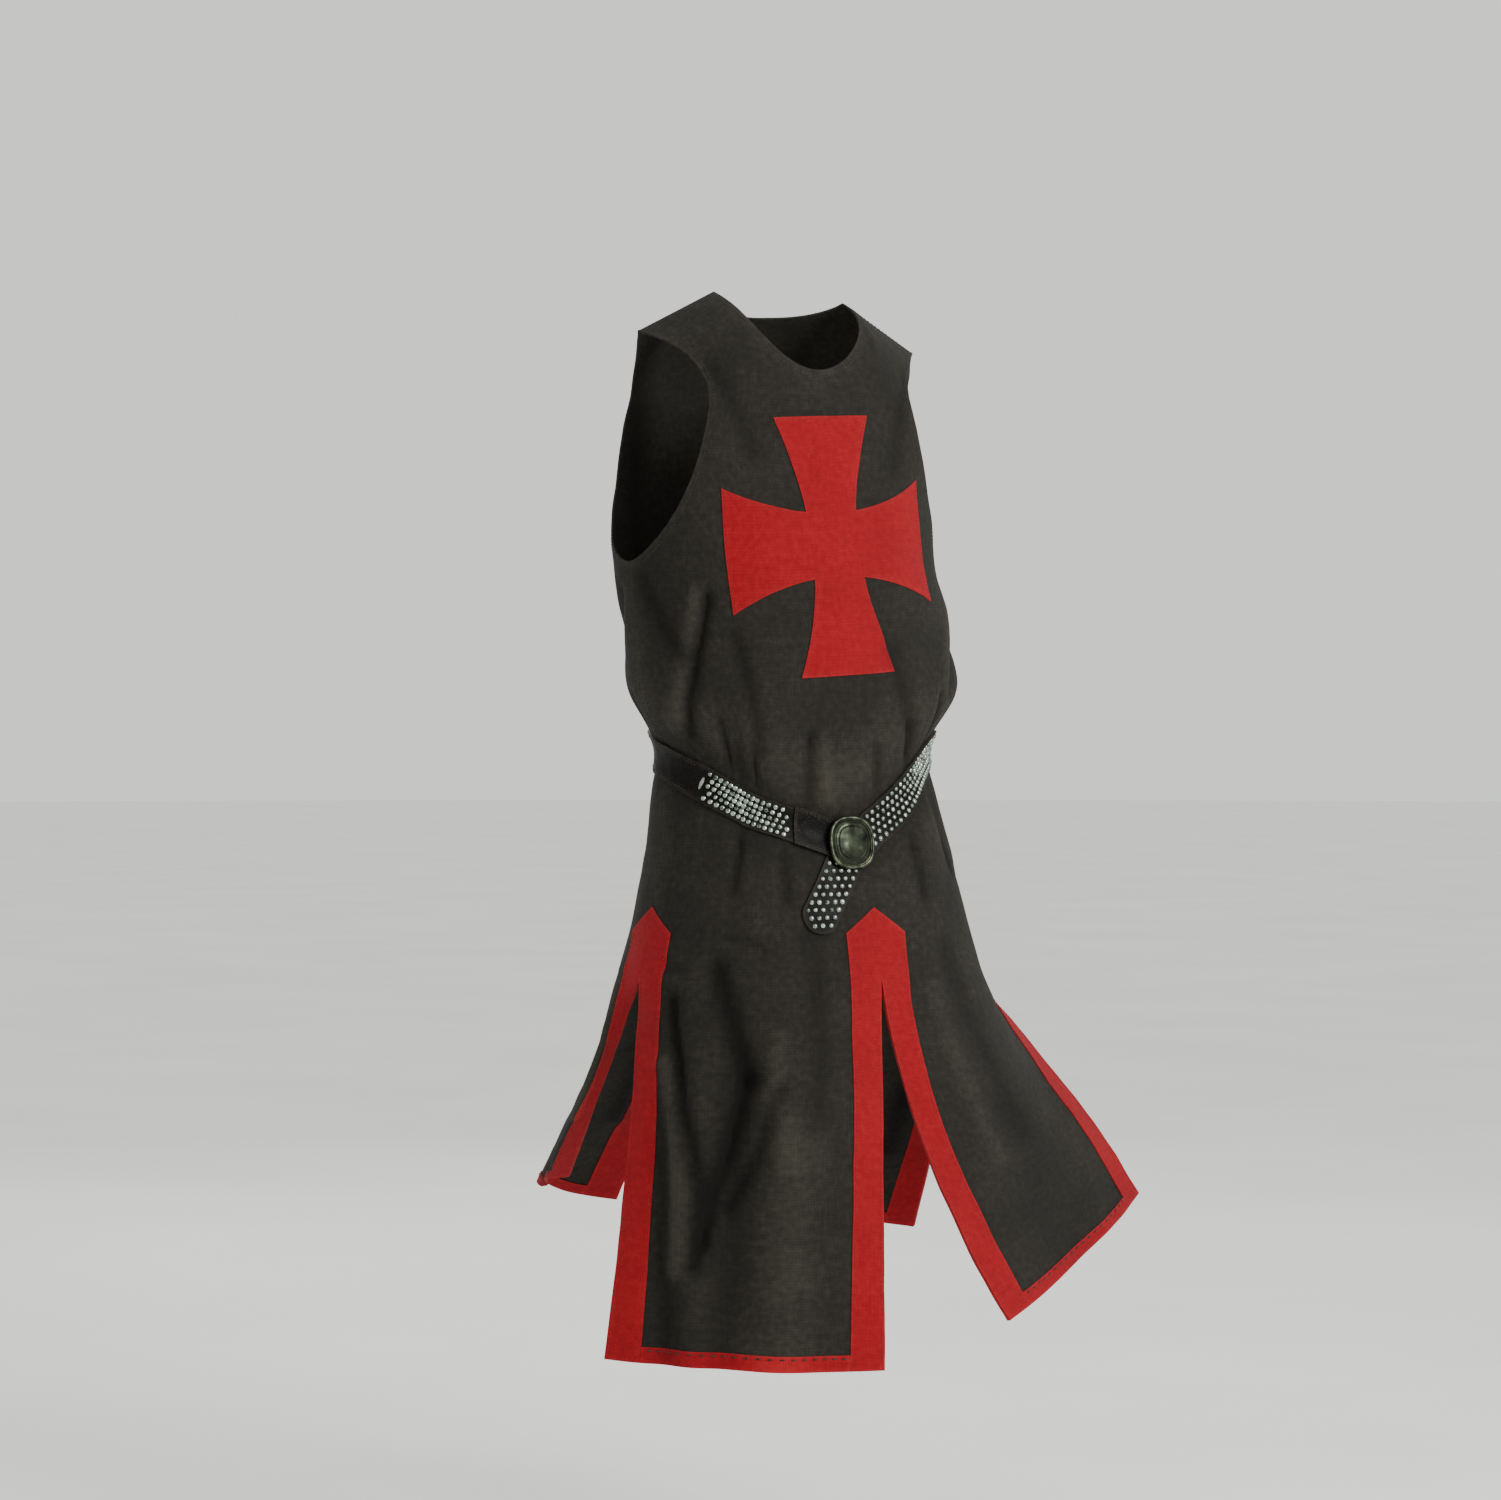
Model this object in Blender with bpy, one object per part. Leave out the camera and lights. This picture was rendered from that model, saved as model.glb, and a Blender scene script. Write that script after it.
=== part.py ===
"""A sleeveless cotton tabard, worn, with its own studded belt.

Metres, +Z up. The front faces -Y and the wearer's left is +X. The origin lies between the
shoulders, at the height of the neck points, where the garment is held up.

The cloth is one net of columns and rows. A column keeps its distance round the garment, and a
row keeps its distance down the cloth from the shoulder seam. The net is bent into the worn shape
from the table of sections, and below the slits from the corners of the four quarters. Every
piece is a flat pattern, cut along the net and laid on it at its own height, so that a band, the
cross and the belt lie on exactly the same facets as the cloth beneath them.
"""

import math
from typing import NamedTuple

import bmesh
import bpy
import numpy as np
from mathutils import Vector

OBJECT_NAME = "tabard"

# Thicknesses, and the space between pieces that touch
CLOTH = 0.0020
BAND = 0.0010
LEATHER = 0.0030
BELT_END_LEATHER = 0.0020
GAP = 0.0003

# The pattern: widths round the garment, and lengths down the cloth
QUARTER = 0.290
SLIT = 0.003
NECK_HALF = 0.085
SHOULDER_END = 0.182
SHOULDER_SLOPE = 0.52
SHOULDER_REACH = 0.165
SHOULDER_RISE = 0.058
FRONT_NECK = 0.147
BACK_NECK = 0.045
ARMHOLE_FOOT = 0.355
ARMHOLE_WAIST = 0.158
ARMHOLE_CORNER = 0.150
ARMHOLE_UPPER = 0.080
ARMHOLE_UPPER_OUT = 0.010
ARMHOLE_MARGIN = 0.030
NECK_ROUND = 2.0
ARMHOLE_ROUND = 1.7
CURVE_STEPS = 7
SLIT_TOP = 0.747 + SHOULDER_RISE
HEM = 1.160 + SHOULDER_RISE
SEAM_FORWARD = 0.008
YOKE_EASE = 0.030
CENTRE_EASE = 0.030
SIDE_EASE = 0.010
HIP_EASE = 0.030

# The net
CELLS_A_QUARTER = 10
ROWS_OF_SHOULDER = 5
ROW_SHOULDER = 0.225
ROW_BLOUSE = 0.500
ROW_HIP = 0.710
ROWS_OF_CHEST = 7
ROWS_OF_BELT = 7
ROWS_OF_HIP = 3
ROWS_OF_SKIRT = 9
SNAP = 1e-6
SNAP_OF_NET = 2e-5
SETTLE = 3e-4
WELD = 1e-4

# The red bands
STRIP_WIDTH = 0.038
STRIP_POINT = 0.670 + SHOULDER_RISE
STRIP_SHOULDER = 0.697 + SHOULDER_RISE
HEM_BAND_WIDTH = 0.016

# The cross
CROSS_CENTRE = 0.280 + SHOULDER_RISE
CROSS_HALF_HEIGHT = 0.139
CROSS_HALF_WIDTH = 0.143
CROSS_UPRIGHT_END = 0.060
CROSS_UPRIGHT_WAIST = 0.032
CROSS_BEAM_END = 0.067
CROSS_BEAM_WAIST = 0.036
CROSS_HOLLOW = 1.35
CROSS_STEPS = 3
CROSS_TILT = 0.07

# The belt
BELT_WIDTH = 0.041
BELT_GROOVE = 0.008
BELT_GROOVE_SPREAD = 0.030
BLOUSE_SWELL = 0.007
BLOUSE_RISE = 0.070
BELT_END_FROM = -0.079
BELT_END_TO = -0.026
BELT_END_MARGIN = 0.0015
PLATE_AT = -0.018
PLATE_WIDTH = 0.056
PLATE_HEIGHT = 0.058
PLATE_THICK = 0.0030
PLATE_DOME = 0.0030
PLATE_SIDES = 28
PLATE_TRIALS = 25
PLATE_TRIAL_REACH = 1.04
PLATE_ROUND = 0.8
TAIL_WIDTH = 0.040
TAIL_TIP = 0.8


class Section(NamedTuple):
    """A level outline of the worn cloth, `down` below the neck points.

    `turn` is how far the centre lines have slipped round, towards the wearer's left.
    """

    down: float
    shift: float
    half_width: float
    front: float
    back: float
    square: float
    turn: float


SECTIONS = (
    Section(0.000, 0.000, 0.190, 0.100, 0.094, 2.5, -0.010),
    Section(0.090, -0.004, 0.188, 0.106, 0.100, 2.5, -0.012),
    Section(0.190, -0.008, 0.186, 0.125, 0.112, 2.4, -0.011),
    Section(0.280, -0.008, 0.186, 0.140, 0.116, 2.3, -0.008),
    Section(0.420, 0.018, 0.190, 0.139, 0.112, 2.2, -0.014),
    Section(0.510, 0.018, 0.167, 0.124, 0.100, 2.2, -0.008),
    Section(0.600, 0.026, 0.176, 0.136, 0.118, 2.2, -0.002),
    Section(0.700, 0.031, 0.199, 0.154, 0.146, 2.1, -0.003),
    Section(0.747, 0.033, 0.211, 0.166, 0.166, 2.1, -0.008),
)


class Quarter(NamedTuple):
    """One of the four hanging parts of the skirt, by the two corners of its hem.

    `bow` is how far the hem curves out between them, and the sways are how far each slit edge
    leans out of a straight line halfway down, towards the wearer's left.
    """

    name: str
    side: int
    front: bool
    centre_corner: tuple
    side_corner: tuple
    bow: float
    centre_sway: float
    side_sway: float


QUARTERS = (
    Quarter("front_left", 1, True, (0.185, -0.181, -1.124), (0.470, -0.060, -1.020), 0.012, -0.024, 0.016),
    Quarter("back_left", 1, False, (0.095, 0.390, -1.062), (0.335, 0.200, -1.080), 0.040, 0.0, 0.010),
    Quarter("back_right", -1, False, (0.032, 0.398, -1.046), (-0.100, 0.282, -0.996), 0.065, 0.0, 0.0),
    Quarter("front_right", -1, True, (0.018, -0.184, -1.160), (-0.229, -0.018, -1.149), 0.034, 0.0, 0.006),
)


class Fold(NamedTuple):
    """A soft ridge, or a trough where its depth is negative, that runs down the cloth."""

    around: float
    top: float
    foot: float
    drift: float
    half_width: float
    depth: float


FOLDS = (
    Fold(-0.235, 0.790, 1.400, 0.012, 0.020, -0.010),
    Fold(-0.200, 0.800, 1.400, 0.014, 0.024, 0.012),
    Fold(-0.160, 0.780, 1.300, -0.030, 0.026, -0.014),
    Fold(-0.100, 0.820, 1.400, -0.020, 0.030, 0.008),
    Fold(-0.175, 0.420, 0.640, 0.020, 0.022, -0.007),
    Fold(-0.110, 0.480, 0.660, 0.010, 0.026, 0.005),
    Fold(-0.055, 0.560, 0.680, 0.000, 0.022, -0.005),
    Fold(0.120, 0.500, 0.680, -0.010, 0.026, 0.006),
    Fold(0.190, 0.430, 0.660, -0.015, 0.026, -0.007),
    Fold(0.130, 0.840, 1.400, 0.030, 0.045, -0.006),
    Fold(0.400, 0.760, 1.400, 0.020, 0.034, 0.014),
    Fold(0.460, 0.800, 1.400, 0.020, 0.030, -0.012),
    Fold(0.515, 0.460, 0.700, 0.000, 0.028, 0.008),
    Fold(0.650, 0.460, 0.700, 0.000, 0.028, -0.008),
    Fold(0.690, 0.760, 1.400, 0.010, 0.036, 0.010),
    Fold(0.770, 0.780, 1.400, 0.005, 0.034, -0.008),
)
FOLD_FADE = 0.110


class Mark(NamedTuple):
    """A point of a line on the cloth: round the garment, and below the neck points."""

    around: float
    down: float


# The belt's middle line, from under its plate, round the back and on to its left end
BELT_LINE = (
    Mark(-0.014, 0.602),
    Mark(0.044, 0.570),
    Mark(0.112, 0.532),
    Mark(0.180, 0.508),
    Mark(0.290, 0.493),
    Mark(0.580, 0.486),
    Mark(0.800, 0.498),
    Mark(0.870, 0.514),
    Mark(0.946, 0.544),
    Mark(1.010, 0.563),
    Mark(1.080, 0.580),
    Mark(1.146, 0.602),
)
BELT_STRAP_FROM = 0.016
BELT_STRAP_TO = 1.100
MARK_APART = 0.004

# The belt's free end, which hangs from under the plate
TAIL_LINE = (Mark(-0.014, 0.602), Mark(-0.035, 0.631), Mark(-0.054, 0.659), Mark(-0.068, 0.680))


class Finish(NamedTuple):
    """Colour in linear light, roughness and how metallic the surface is."""

    colour: tuple
    roughness: float
    metallic: float


CHARCOAL_COTTON = Finish((0.027, 0.027, 0.021), 0.90, 0.0)
RED_COTTON = Finish((0.420, 0.018, 0.016), 0.85, 0.0)
BLACK_LEATHER = Finish((0.012, 0.012, 0.010), 0.45, 0.0)
ANTIQUE_BRASS = Finish((0.110, 0.120, 0.075), 0.38, 1.0)


def spline(knots, values, at):
    """Reads a smooth curve through values at rising knots, held level past either end."""
    knots = np.asarray(knots, float)
    values = np.asarray(values, float)
    at = min(max(at, knots[0]), knots[-1])
    slopes = np.gradient(values, knots, axis=0)
    k = min(max(int(np.searchsorted(knots, at)) - 1, 0), len(knots) - 2)
    span = knots[k + 1] - knots[k]
    f = (at - knots[k]) / span
    rise = f * f * (3 - 2 * f)
    lead = f * (1 - f) ** 2 * span
    trail = -f * f * (1 - f) * span
    return values[k] * (1 - rise) + values[k + 1] * rise + slopes[k] * lead + slopes[k + 1] * trail


def soft_step(value, start, end):
    """Rises smoothly from 0 at start to 1 at end."""
    f = min(max((value - start) / (end - start), 0.0), 1.0)
    return f * f * (3 - 2 * f)


def section_at(down):
    """The section of the worn cloth at any level, from the table."""
    return Section(*spline([s.down for s in SECTIONS], SECTIONS, down))


def half_arc(section, front):
    """Points along the front or back half of a section, and their distance from its middle."""
    turn = np.linspace(0, math.pi / 2, 49)
    power = 2 / section.square
    depth = SEAM_FORWARD - section.front if front else SEAM_FORWARD + section.back
    out = section.half_width * np.sin(turn) ** power
    y = depth * np.cos(turn) ** power - SEAM_FORWARD
    length = np.concatenate([[0.0], np.cumsum(np.hypot(np.diff(out), np.diff(y)))])
    out = np.concatenate([-out[:0:-1], out])
    return section.shift + out, np.concatenate([y[:0:-1], y]), np.concatenate([-length[:0:-1], length])


def shared_width(distance, whole):
    """A pattern distance from the centre line on a row of another width.

    The bands at the centre and at the side keep their width, and the cloth between them takes
    up the difference.
    """
    taken = soft_step(distance, STRIP_WIDTH + CENTRE_EASE, QUARTER - STRIP_WIDTH - SIDE_EASE)
    return distance + (whole - QUARTER) * taken


def shoulder_drop(distance):
    """How far the shoulder seam has fallen at this distance from the centre line."""
    return SHOULDER_SLOPE * (min(max(distance, NECK_HALF), SHOULDER_END) - NECK_HALF)


def body_point(quarter, distance, row):
    """A point of the cloth above the slits, from its pattern distance and row."""
    seam = shoulder_drop(distance)
    down = row + seam * (1 - soft_step(row, 0.0, ROW_SHOULDER + YOKE_EASE))
    along = down - seam
    reach = min(along / SHOULDER_REACH, 1.0)
    height = -(down - SHOULDER_RISE * (1 - (1 - reach) ** 2))
    section = section_at(down - SHOULDER_RISE)
    x, y, length = half_arc(section, quarter.front)
    at = quarter.side * shared_width(distance, length[-1])
    at += section.turn * (1 - soft_step(distance, 0.0, QUARTER))
    fullness = math.sin(reach * math.pi / 2)
    straight_x = section.shift + quarter.side * distance
    section_x = float(np.interp(at, length, x))
    section_y = float(np.interp(at, length, y))
    return Vector(
        (
            straight_x + (section_x - straight_x) * fullness,
            -SEAM_FORWARD + (section_y + SEAM_FORWARD) * fullness,
            height,
        )
    )


def hem_point(quarter, distance):
    """A point of the hem, on the bowed line between the quarter's two corners."""
    centre = Vector(quarter.centre_corner)
    side = Vector(quarter.side_corner)
    chord = side - centre
    out = Vector((chord.y, -chord.x, 0)).normalized()
    if out.dot(centre + side) < 0:
        out.negate()
    length = chord.length * (1 + (quarter.bow / chord.length) ** 2 * 8 / 3)
    share = shared_width(distance, length) / length
    return centre + chord * share + out * quarter.bow * 4 * share * (1 - share)


def skirt_point(quarter, distance, row):
    """A point of a hanging quarter: straight edges, and a middle that leaves the hip smoothly."""
    start = body_point(quarter, distance, SLIT_TOP)
    above = body_point(quarter, distance, SLIT_TOP - HIP_EASE)
    fall = hem_point(quarter, distance) - start
    share = (row - SLIT_TOP) / (HEM - SLIT_TOP)
    ease = (start - above) * (HEM - SLIT_TOP) / HIP_EASE - fall
    across = min(max(distance / QUARTER, 0.0), 1.0)
    sway = quarter.centre_sway + (quarter.side_sway - quarter.centre_sway) * across
    lean = Vector((sway * 4 * share * (1 - share), 0, 0))
    leave = ease * math.sin(math.pi * across) * share * (1 - share) ** 2
    return start + fall * share + leave + lean


def belt_down(around):
    """How far below the neck points the middle of the belt lies."""
    line = [mark.around for mark in BELT_LINE]
    turn = 4 * QUARTER
    around = (around - line[0]) % turn + line[0]
    return float(spline(line, [mark.down for mark in BELT_LINE], around))


def fold_height(around, row):
    """How far folds and the belt's pull move the cloth out at this place."""
    turn = 4 * QUARTER
    down = row - SHOULDER_RISE
    height = 0.0
    for fold in FOLDS:
        share = (down - fold.top) / (fold.foot - fold.top)
        away = (around - fold.around - fold.drift * share + turn / 2) % turn - turn / 2
        window = soft_step(down, fold.top, fold.top + FOLD_FADE)
        window *= 1 - soft_step(down, fold.foot - FOLD_FADE, fold.foot)
        height += fold.depth * window * math.exp(-((away / fold.half_width) ** 2))
    below = down - belt_down(around)
    height -= BELT_GROOVE * math.exp(-((below / BELT_GROOVE_SPREAD) ** 2))
    height += BLOUSE_SWELL * math.exp(-(((below + BLOUSE_RISE) / BELT_GROOVE_SPREAD) ** 2))
    return height


class Net:
    """The cloth's net of columns and rows, bent into the worn shape."""

    def __init__(self):
        middle = np.linspace(STRIP_WIDTH, QUARTER - STRIP_WIDTH, CELLS_A_QUARTER - 1)
        quarter = [SLIT / 2, *middle.tolist(), QUARTER - SLIT / 2]
        self.a_quarter = len(quarter)
        self.count = 4 * self.a_quarter
        self.columns = [k * QUARTER + around for k in range(4) for around in quarter]
        stretches = (
            (0.0, ROW_SHOULDER, ROWS_OF_SHOULDER),
            (ROW_SHOULDER, ROW_BLOUSE, ROWS_OF_CHEST),
            (ROW_BLOUSE, ROW_HIP, ROWS_OF_BELT),
            (ROW_HIP, SLIT_TOP, ROWS_OF_HIP),
            (SLIT_TOP, HEM, ROWS_OF_SKIRT),
        )
        self.rows = [0.0]
        for start, end, steps in stretches:
            self.rows += [start + (end - start) * (n + 1) / steps for n in range(steps)]
        self.slit_row = self.row_index_of(SLIT_TOP)
        self.arm_row = int(np.searchsorted(self.rows, ARMHOLE_FOOT - ARMHOLE_MARGIN))
        self.points = [[self.bent(i, row) for row in self.rows] for i in range(self.count)]
        flat_normals = self.normals_of()
        for i, column in enumerate(self.points):
            for j, row in enumerate(self.rows):
                column[j] = column[j] + flat_normals[i][j] * fold_height(self.columns[i], row)
        self.normals = self.normals_of()

    def row_index_of(self, row):
        return min(range(len(self.rows)), key=lambda j: abs(self.rows[j] - row))

    def bent(self, i, row):
        """The worn place of a point of the net, before its folds."""
        k = i // self.a_quarter
        around = self.columns[i] - k * QUARTER
        distance = around if k % 2 == 0 else QUARTER - around
        if row <= SLIT_TOP:
            return body_point(QUARTERS[k], distance, row)
        return skirt_point(QUARTERS[k], distance, row)

    def is_slit(self, i):
        """Whether the cell after column i is one that lies on a centre line or a side seam."""
        return i % self.a_quarter == CELLS_A_QUARTER

    def is_open(self, i, j):
        """Whether a cell lies in a slit, or in an armhole on the side seam."""
        at_side = i % self.count // self.a_quarter % 2 == 0
        return self.is_slit(i % self.count) and (
            j >= self.slit_row or (at_side and j < self.arm_row)
        )

    def normals_of(self):
        """The mean direction out of the cloth at every point of the net."""
        sums = [[Vector((0, 0, 0)) for _ in self.rows] for _ in range(self.count)]
        for i in range(self.count):
            for j in range(len(self.rows) - 1):
                if self.is_open(i, j):
                    continue
                after = (i + 1) % self.count
                corners = ((i, j), (after, j), (after, j + 1), (i, j + 1))
                for three in ((0, 1, 2), (0, 2, 3)):
                    a, b, c = (self.points[corners[n][0]][corners[n][1]] for n in three)
                    face = (c - a).cross(b - a).normalized()
                    for n in three:
                        sums[corners[n][0]][corners[n][1]] += face
        return [[total.normalized() for total in column] for column in sums]

    def column_place(self, around):
        """The fractional column number of a distance round the garment."""
        turn = 4 * QUARTER
        laps, rest = divmod(around - self.columns[0], turn)
        starts = [column - self.columns[0] for column in self.columns] + [turn]
        return laps * self.count + float(np.interp(rest, starts, range(self.count + 1)))

    def row_place(self, row):
        """The fractional row number of a distance down the cloth, run on past the hem."""
        if row <= self.rows[-1]:
            return float(np.interp(row, self.rows, range(len(self.rows))))
        return len(self.rows) - 1 + (row - self.rows[-1]) / (self.rows[-1] - self.rows[-2])

    def laid(self, column, row, height):
        """The place of a point of the flat net at a height above the cloth's inner face."""
        i = math.floor(column + 1e-9)
        j = min(max(math.floor(row + 1e-9), 0), len(self.rows) - 2)
        across = column - i
        if self.is_open(i, j) and j >= self.slit_row and 1e-6 < across < 1 - 1e-6:
            cell = STRIP_WIDTH - SLIT / 2
            before = across < 0.5
            across = 1 + across * SLIT / cell if before else (across - 1) * SLIT / cell
            i = i - 1 if before else i + 1
        down = row - j
        first, after = i % self.count, (i + 1) % self.count

        def lifted(a, b):
            return self.points[a][b] + self.normals[a][b] * height

        near, far = lifted(first, j), lifted(after, j + 1)
        if across >= down:
            corner = lifted(after, j)
            return near + (corner - near) * across + (far - corner) * down
        corner = lifted(first, j + 1)
        return near + (corner - near) * down + (far - corner) * across


def cut_along(mesh, place, normal, snap, faces=None):
    """Cuts the faces of a mesh, or only some of them, by one plane."""
    faces = mesh.faces[:] if faces is None else faces
    edges = {edge for face in faces for edge in face.edges}
    corners = {vertex for face in faces for vertex in face.verts}
    bmesh.ops.bisect_plane(
        mesh,
        geom=list(corners) + list(edges) + faces,
        dist=snap,
        plane_co=place,
        plane_no=normal,
    )


def cut_pattern(net, outline, cuts, row_cuts):
    """A flat pattern as a mesh in the net's own numbers, cut along every line of the net."""
    mesh = bmesh.new()
    mesh.faces.new([mesh.verts.new((around, row, 0)) for around, row in outline])
    least = min(around for around, _ in outline)
    most = max(around for around, _ in outline)
    turn = 4 * QUARTER
    lines = [column + lap * turn for lap in (-1, 0, 1) for column in net.columns]
    for line in [*lines, *cuts]:
        if least < line < most:
            cut_along(mesh, (line, 0, 0), (1, 0, 0), SNAP)
    for line in [*net.rows, *row_cuts]:
        cut_along(mesh, (0, line, 0), (0, 1, 0), SNAP)
    for vertex in mesh.verts:
        place = (net.column_place(vertex.co.x), net.row_place(vertex.co.y))
        near = [round(number) for number in place]
        across, along = (n if abs(n - number) < SETTLE else number for n, number in zip(near, place))
        vertex.co = (across, along, 0)
    slants = [vertex.co.x - vertex.co.y for vertex in mesh.verts]
    for line in range(math.ceil(min(slants)), math.floor(max(slants)) + 1):
        centres = [(face, face.calc_center_median()) for face in mesh.faces]
        cloth = [face for face, at in centres if not net.is_open(math.floor(at.x), int(at.y))]
        cut_along(mesh, (line, 0, 0), (1, -1, 0), SNAP_OF_NET, cloth)
    return mesh


class Layer(NamedTuple):
    """A flat pattern with the heights of its two faces above the cloth's inner face.

    `cuts` and `row_cuts` are further lines to cut it along, down and round the garment.
    `open_low` and `open_high` are stretches of the pattern, as least and greatest distance round
    and down, where the lower or the upper face is left out because another layer joins there.
    """

    outline: list
    low: float
    high: float
    cuts: tuple = ()
    row_cuts: tuple = ()
    open_low: tuple = ()
    open_high: tuple = ()


def within(net, centre, stretches):
    """Whether a point of the flat net lies in one of these stretches of the pattern."""
    for least_around, most_around, least_row, most_row in stretches:
        across = net.column_place(least_around) < centre.x < net.column_place(most_around)
        if across and net.row_place(least_row) < centre.y < net.row_place(most_row):
            return True
    return False


def split_edges_alike(mesh, middle):
    """Splits each four-sided edge face the same way, so that facing edges stay parallel."""
    for face in mesh.faces[:]:
        lower = [vertex for vertex in face.verts if vertex.co.z < middle]
        upper = [vertex for vertex in face.verts if vertex.co.z > middle]
        if len(lower) != 2 or len(upper) != 2:
            continue
        lower.sort(key=lambda vertex: (vertex.co.x, vertex.co.y))
        upper.sort(key=lambda vertex: (vertex.co.x, vertex.co.y))
        bmesh.utils.face_split(face, lower[0], upper[1])


def thick_layer(net, layer):
    """One layer with both its faces and its edge, in the net's own numbers."""
    mesh = cut_pattern(net, layer.outline, layer.cuts, layer.row_cuts)
    flat = mesh.faces[:]
    raised = bmesh.ops.extrude_face_region(mesh, geom=flat)["geom"]
    upper = [v for v in raised if isinstance(v, bmesh.types.BMVert)]
    for vertex in mesh.verts:
        vertex.co.z = layer.low
    for vertex in upper:
        vertex.co.z = layer.high
    middle = (layer.low + layer.high) / 2
    dropped = []
    for face in mesh.faces:
        centre = face.calc_center_median()
        heights = {round(vertex.co.z, 7) for vertex in face.verts}
        if len(heights) > 1:
            continue
        stretches = layer.open_low if centre.z < middle else layer.open_high
        if within(net, centre, stretches):
            dropped.append(face)
    bmesh.ops.delete(mesh, geom=dropped, context="FACES")
    split_edges_alike(mesh, middle)
    return mesh


def new_part(name, mesh, finish):
    """Adds one piece with its own material to the scene."""
    data = bpy.data.meshes.new(name)
    mesh.to_mesh(data)
    mesh.free()
    data.shade_smooth()
    data.set_sharp_from_angle(angle=math.radians(50))
    material = bpy.data.materials.new(name)
    material.use_nodes = True
    surface = material.node_tree.nodes["Principled BSDF"]
    surface.inputs["Base Color"].default_value = (*finish.colour, 1)
    surface.inputs["Roughness"].default_value = finish.roughness
    surface.inputs["Metallic"].default_value = finish.metallic
    data.materials.append(material)
    part = bpy.data.objects.new(name, data)
    bpy.data.collections[OBJECT_NAME].objects.link(part)
    return part


def face_outward(mesh):
    """Turns every face of a closed mesh outward."""
    bmesh.ops.recalc_face_normals(mesh, faces=mesh.faces)
    if mesh.calc_volume(signed=True) < 0:
        bmesh.ops.reverse_faces(mesh, faces=mesh.faces)


def lay_piece(net, name, layers, finish):
    """Cuts the layers of one piece, joins them and lays them on the cloth."""
    whole = bmesh.new()
    for layer in layers:
        mesh = thick_layer(net, layer)
        data = bpy.data.meshes.new("layer")
        mesh.to_mesh(data)
        mesh.free()
        whole.from_mesh(data)
        bpy.data.meshes.remove(data)
    bmesh.ops.remove_doubles(whole, verts=whole.verts, dist=WELD)
    for vertex in whole.verts:
        vertex.co = net.laid(vertex.co.x, vertex.co.y, vertex.co.z)
    face_outward(whole)
    return new_part(name, whole, finish)


def rounded(start, end, bulge):
    """Points of a curved edge between two corners, leaving the first along the pattern's width.

    A larger bulge gives a squarer curve.
    """
    turns = [math.pi / 2 * n / CURVE_STEPS for n in range(CURVE_STEPS + 1)]
    power = 2 / bulge
    return [
        (
            start[0] + (end[0] - start[0]) * math.sin(turn) ** power,
            end[1] + (start[1] - end[1]) * max(math.cos(turn), 0.0) ** power,
        )
        for turn in turns
    ]


def panel_outline(neck_depth):
    """The front's or the back's pattern about its own centre line, slit and all."""
    seam = GAP / 2
    neck = rounded((0.0, neck_depth), (NECK_HALF, seam), NECK_ROUND)
    foot = (QUARTER - seam, ARMHOLE_FOOT)
    armhole = rounded(foot, (ARMHOLE_WAIST, ARMHOLE_CORNER), ARMHOLE_ROUND)
    half = neck + [(SHOULDER_END, seam)]
    half += [(ARMHOLE_WAIST + ARMHOLE_UPPER_OUT, ARMHOLE_UPPER)]
    half += armhole[::-1]
    half += [
        (QUARTER - seam, SLIT_TOP),
        (QUARTER - SLIT / 2, SLIT_TOP),
        (QUARTER - SLIT / 2, HEM),
        (SLIT / 2, HEM),
        (SLIT / 2, SLIT_TOP),
    ]
    other = [(-around, row) for around, row in half[1:]]
    return half + other[::-1]


def moved(outline, around):
    return [(point[0] + around, point[1]) for point in outline]


def slit_band(net, name, centre):
    """The band round a slit: a pointed top outside, and strips folded over both edges."""
    above = CLOTH + GAP
    end = HEM + GAP + BAND
    edge = SLIT / 2 - GAP
    fold = edge - BAND
    start = SLIT_TOP + 2 * GAP
    half = [
        (STRIP_WIDTH, STRIP_SHOULDER),
        (STRIP_WIDTH, end),
        (fold, end),
        (fold, start),
    ]
    outside = [(0.0, STRIP_POINT)] + half + [(-a, row) for a, row in half[::-1]]
    folds = ((centre + fold, centre + edge, start, end), (centre - edge, centre - fold, start, end))
    cuts = (centre + edge, centre - edge)
    row_cuts = (start,)
    outside = moved(outside, centre)
    layers = [Layer(outside, above, above + BAND, cuts, row_cuts, open_low=folds)]
    for side in (1, -1):
        strip = [(fold, start), (STRIP_WIDTH, start), (STRIP_WIDTH, end), (fold, end)]
        turned = [(fold, start), (edge, start), (edge, end), (fold, end)]
        strip = moved([(side * a, row) for a, row in strip], centre)
        turned = moved([(side * a, row) for a, row in turned], centre)
        layers.append(Layer(strip, -GAP - BAND, -GAP, cuts, row_cuts, open_high=folds))
        layers.append(Layer(turned, -GAP, above, cuts, row_cuts, open_low=folds, open_high=folds))
    return lay_piece(net, name, layers, RED_COTTON)


def hem_band(net, name, start):
    """The band along the hem of one quarter, folded over its lower edge."""
    above = CLOTH + GAP
    left = start + STRIP_WIDTH + GAP
    right = start + QUARTER - STRIP_WIDTH - GAP
    top = HEM - HEM_BAND_WIDTH
    edge = HEM + GAP
    end = edge + BAND
    fold = ((left, right, edge, end),)
    row_cuts = (edge,)
    strip = [(left, top), (right, top), (right, end), (left, end)]
    turned = [(left, edge), (right, edge), (right, end), (left, end)]
    layers = (
        Layer(strip, above, above + BAND, (), row_cuts, open_low=fold),
        Layer(strip, -GAP - BAND, -GAP, (), row_cuts, open_high=fold),
        Layer(turned, -GAP, above, open_low=fold, open_high=fold),
    )
    return lay_piece(net, name, layers, RED_COTTON)


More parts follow.
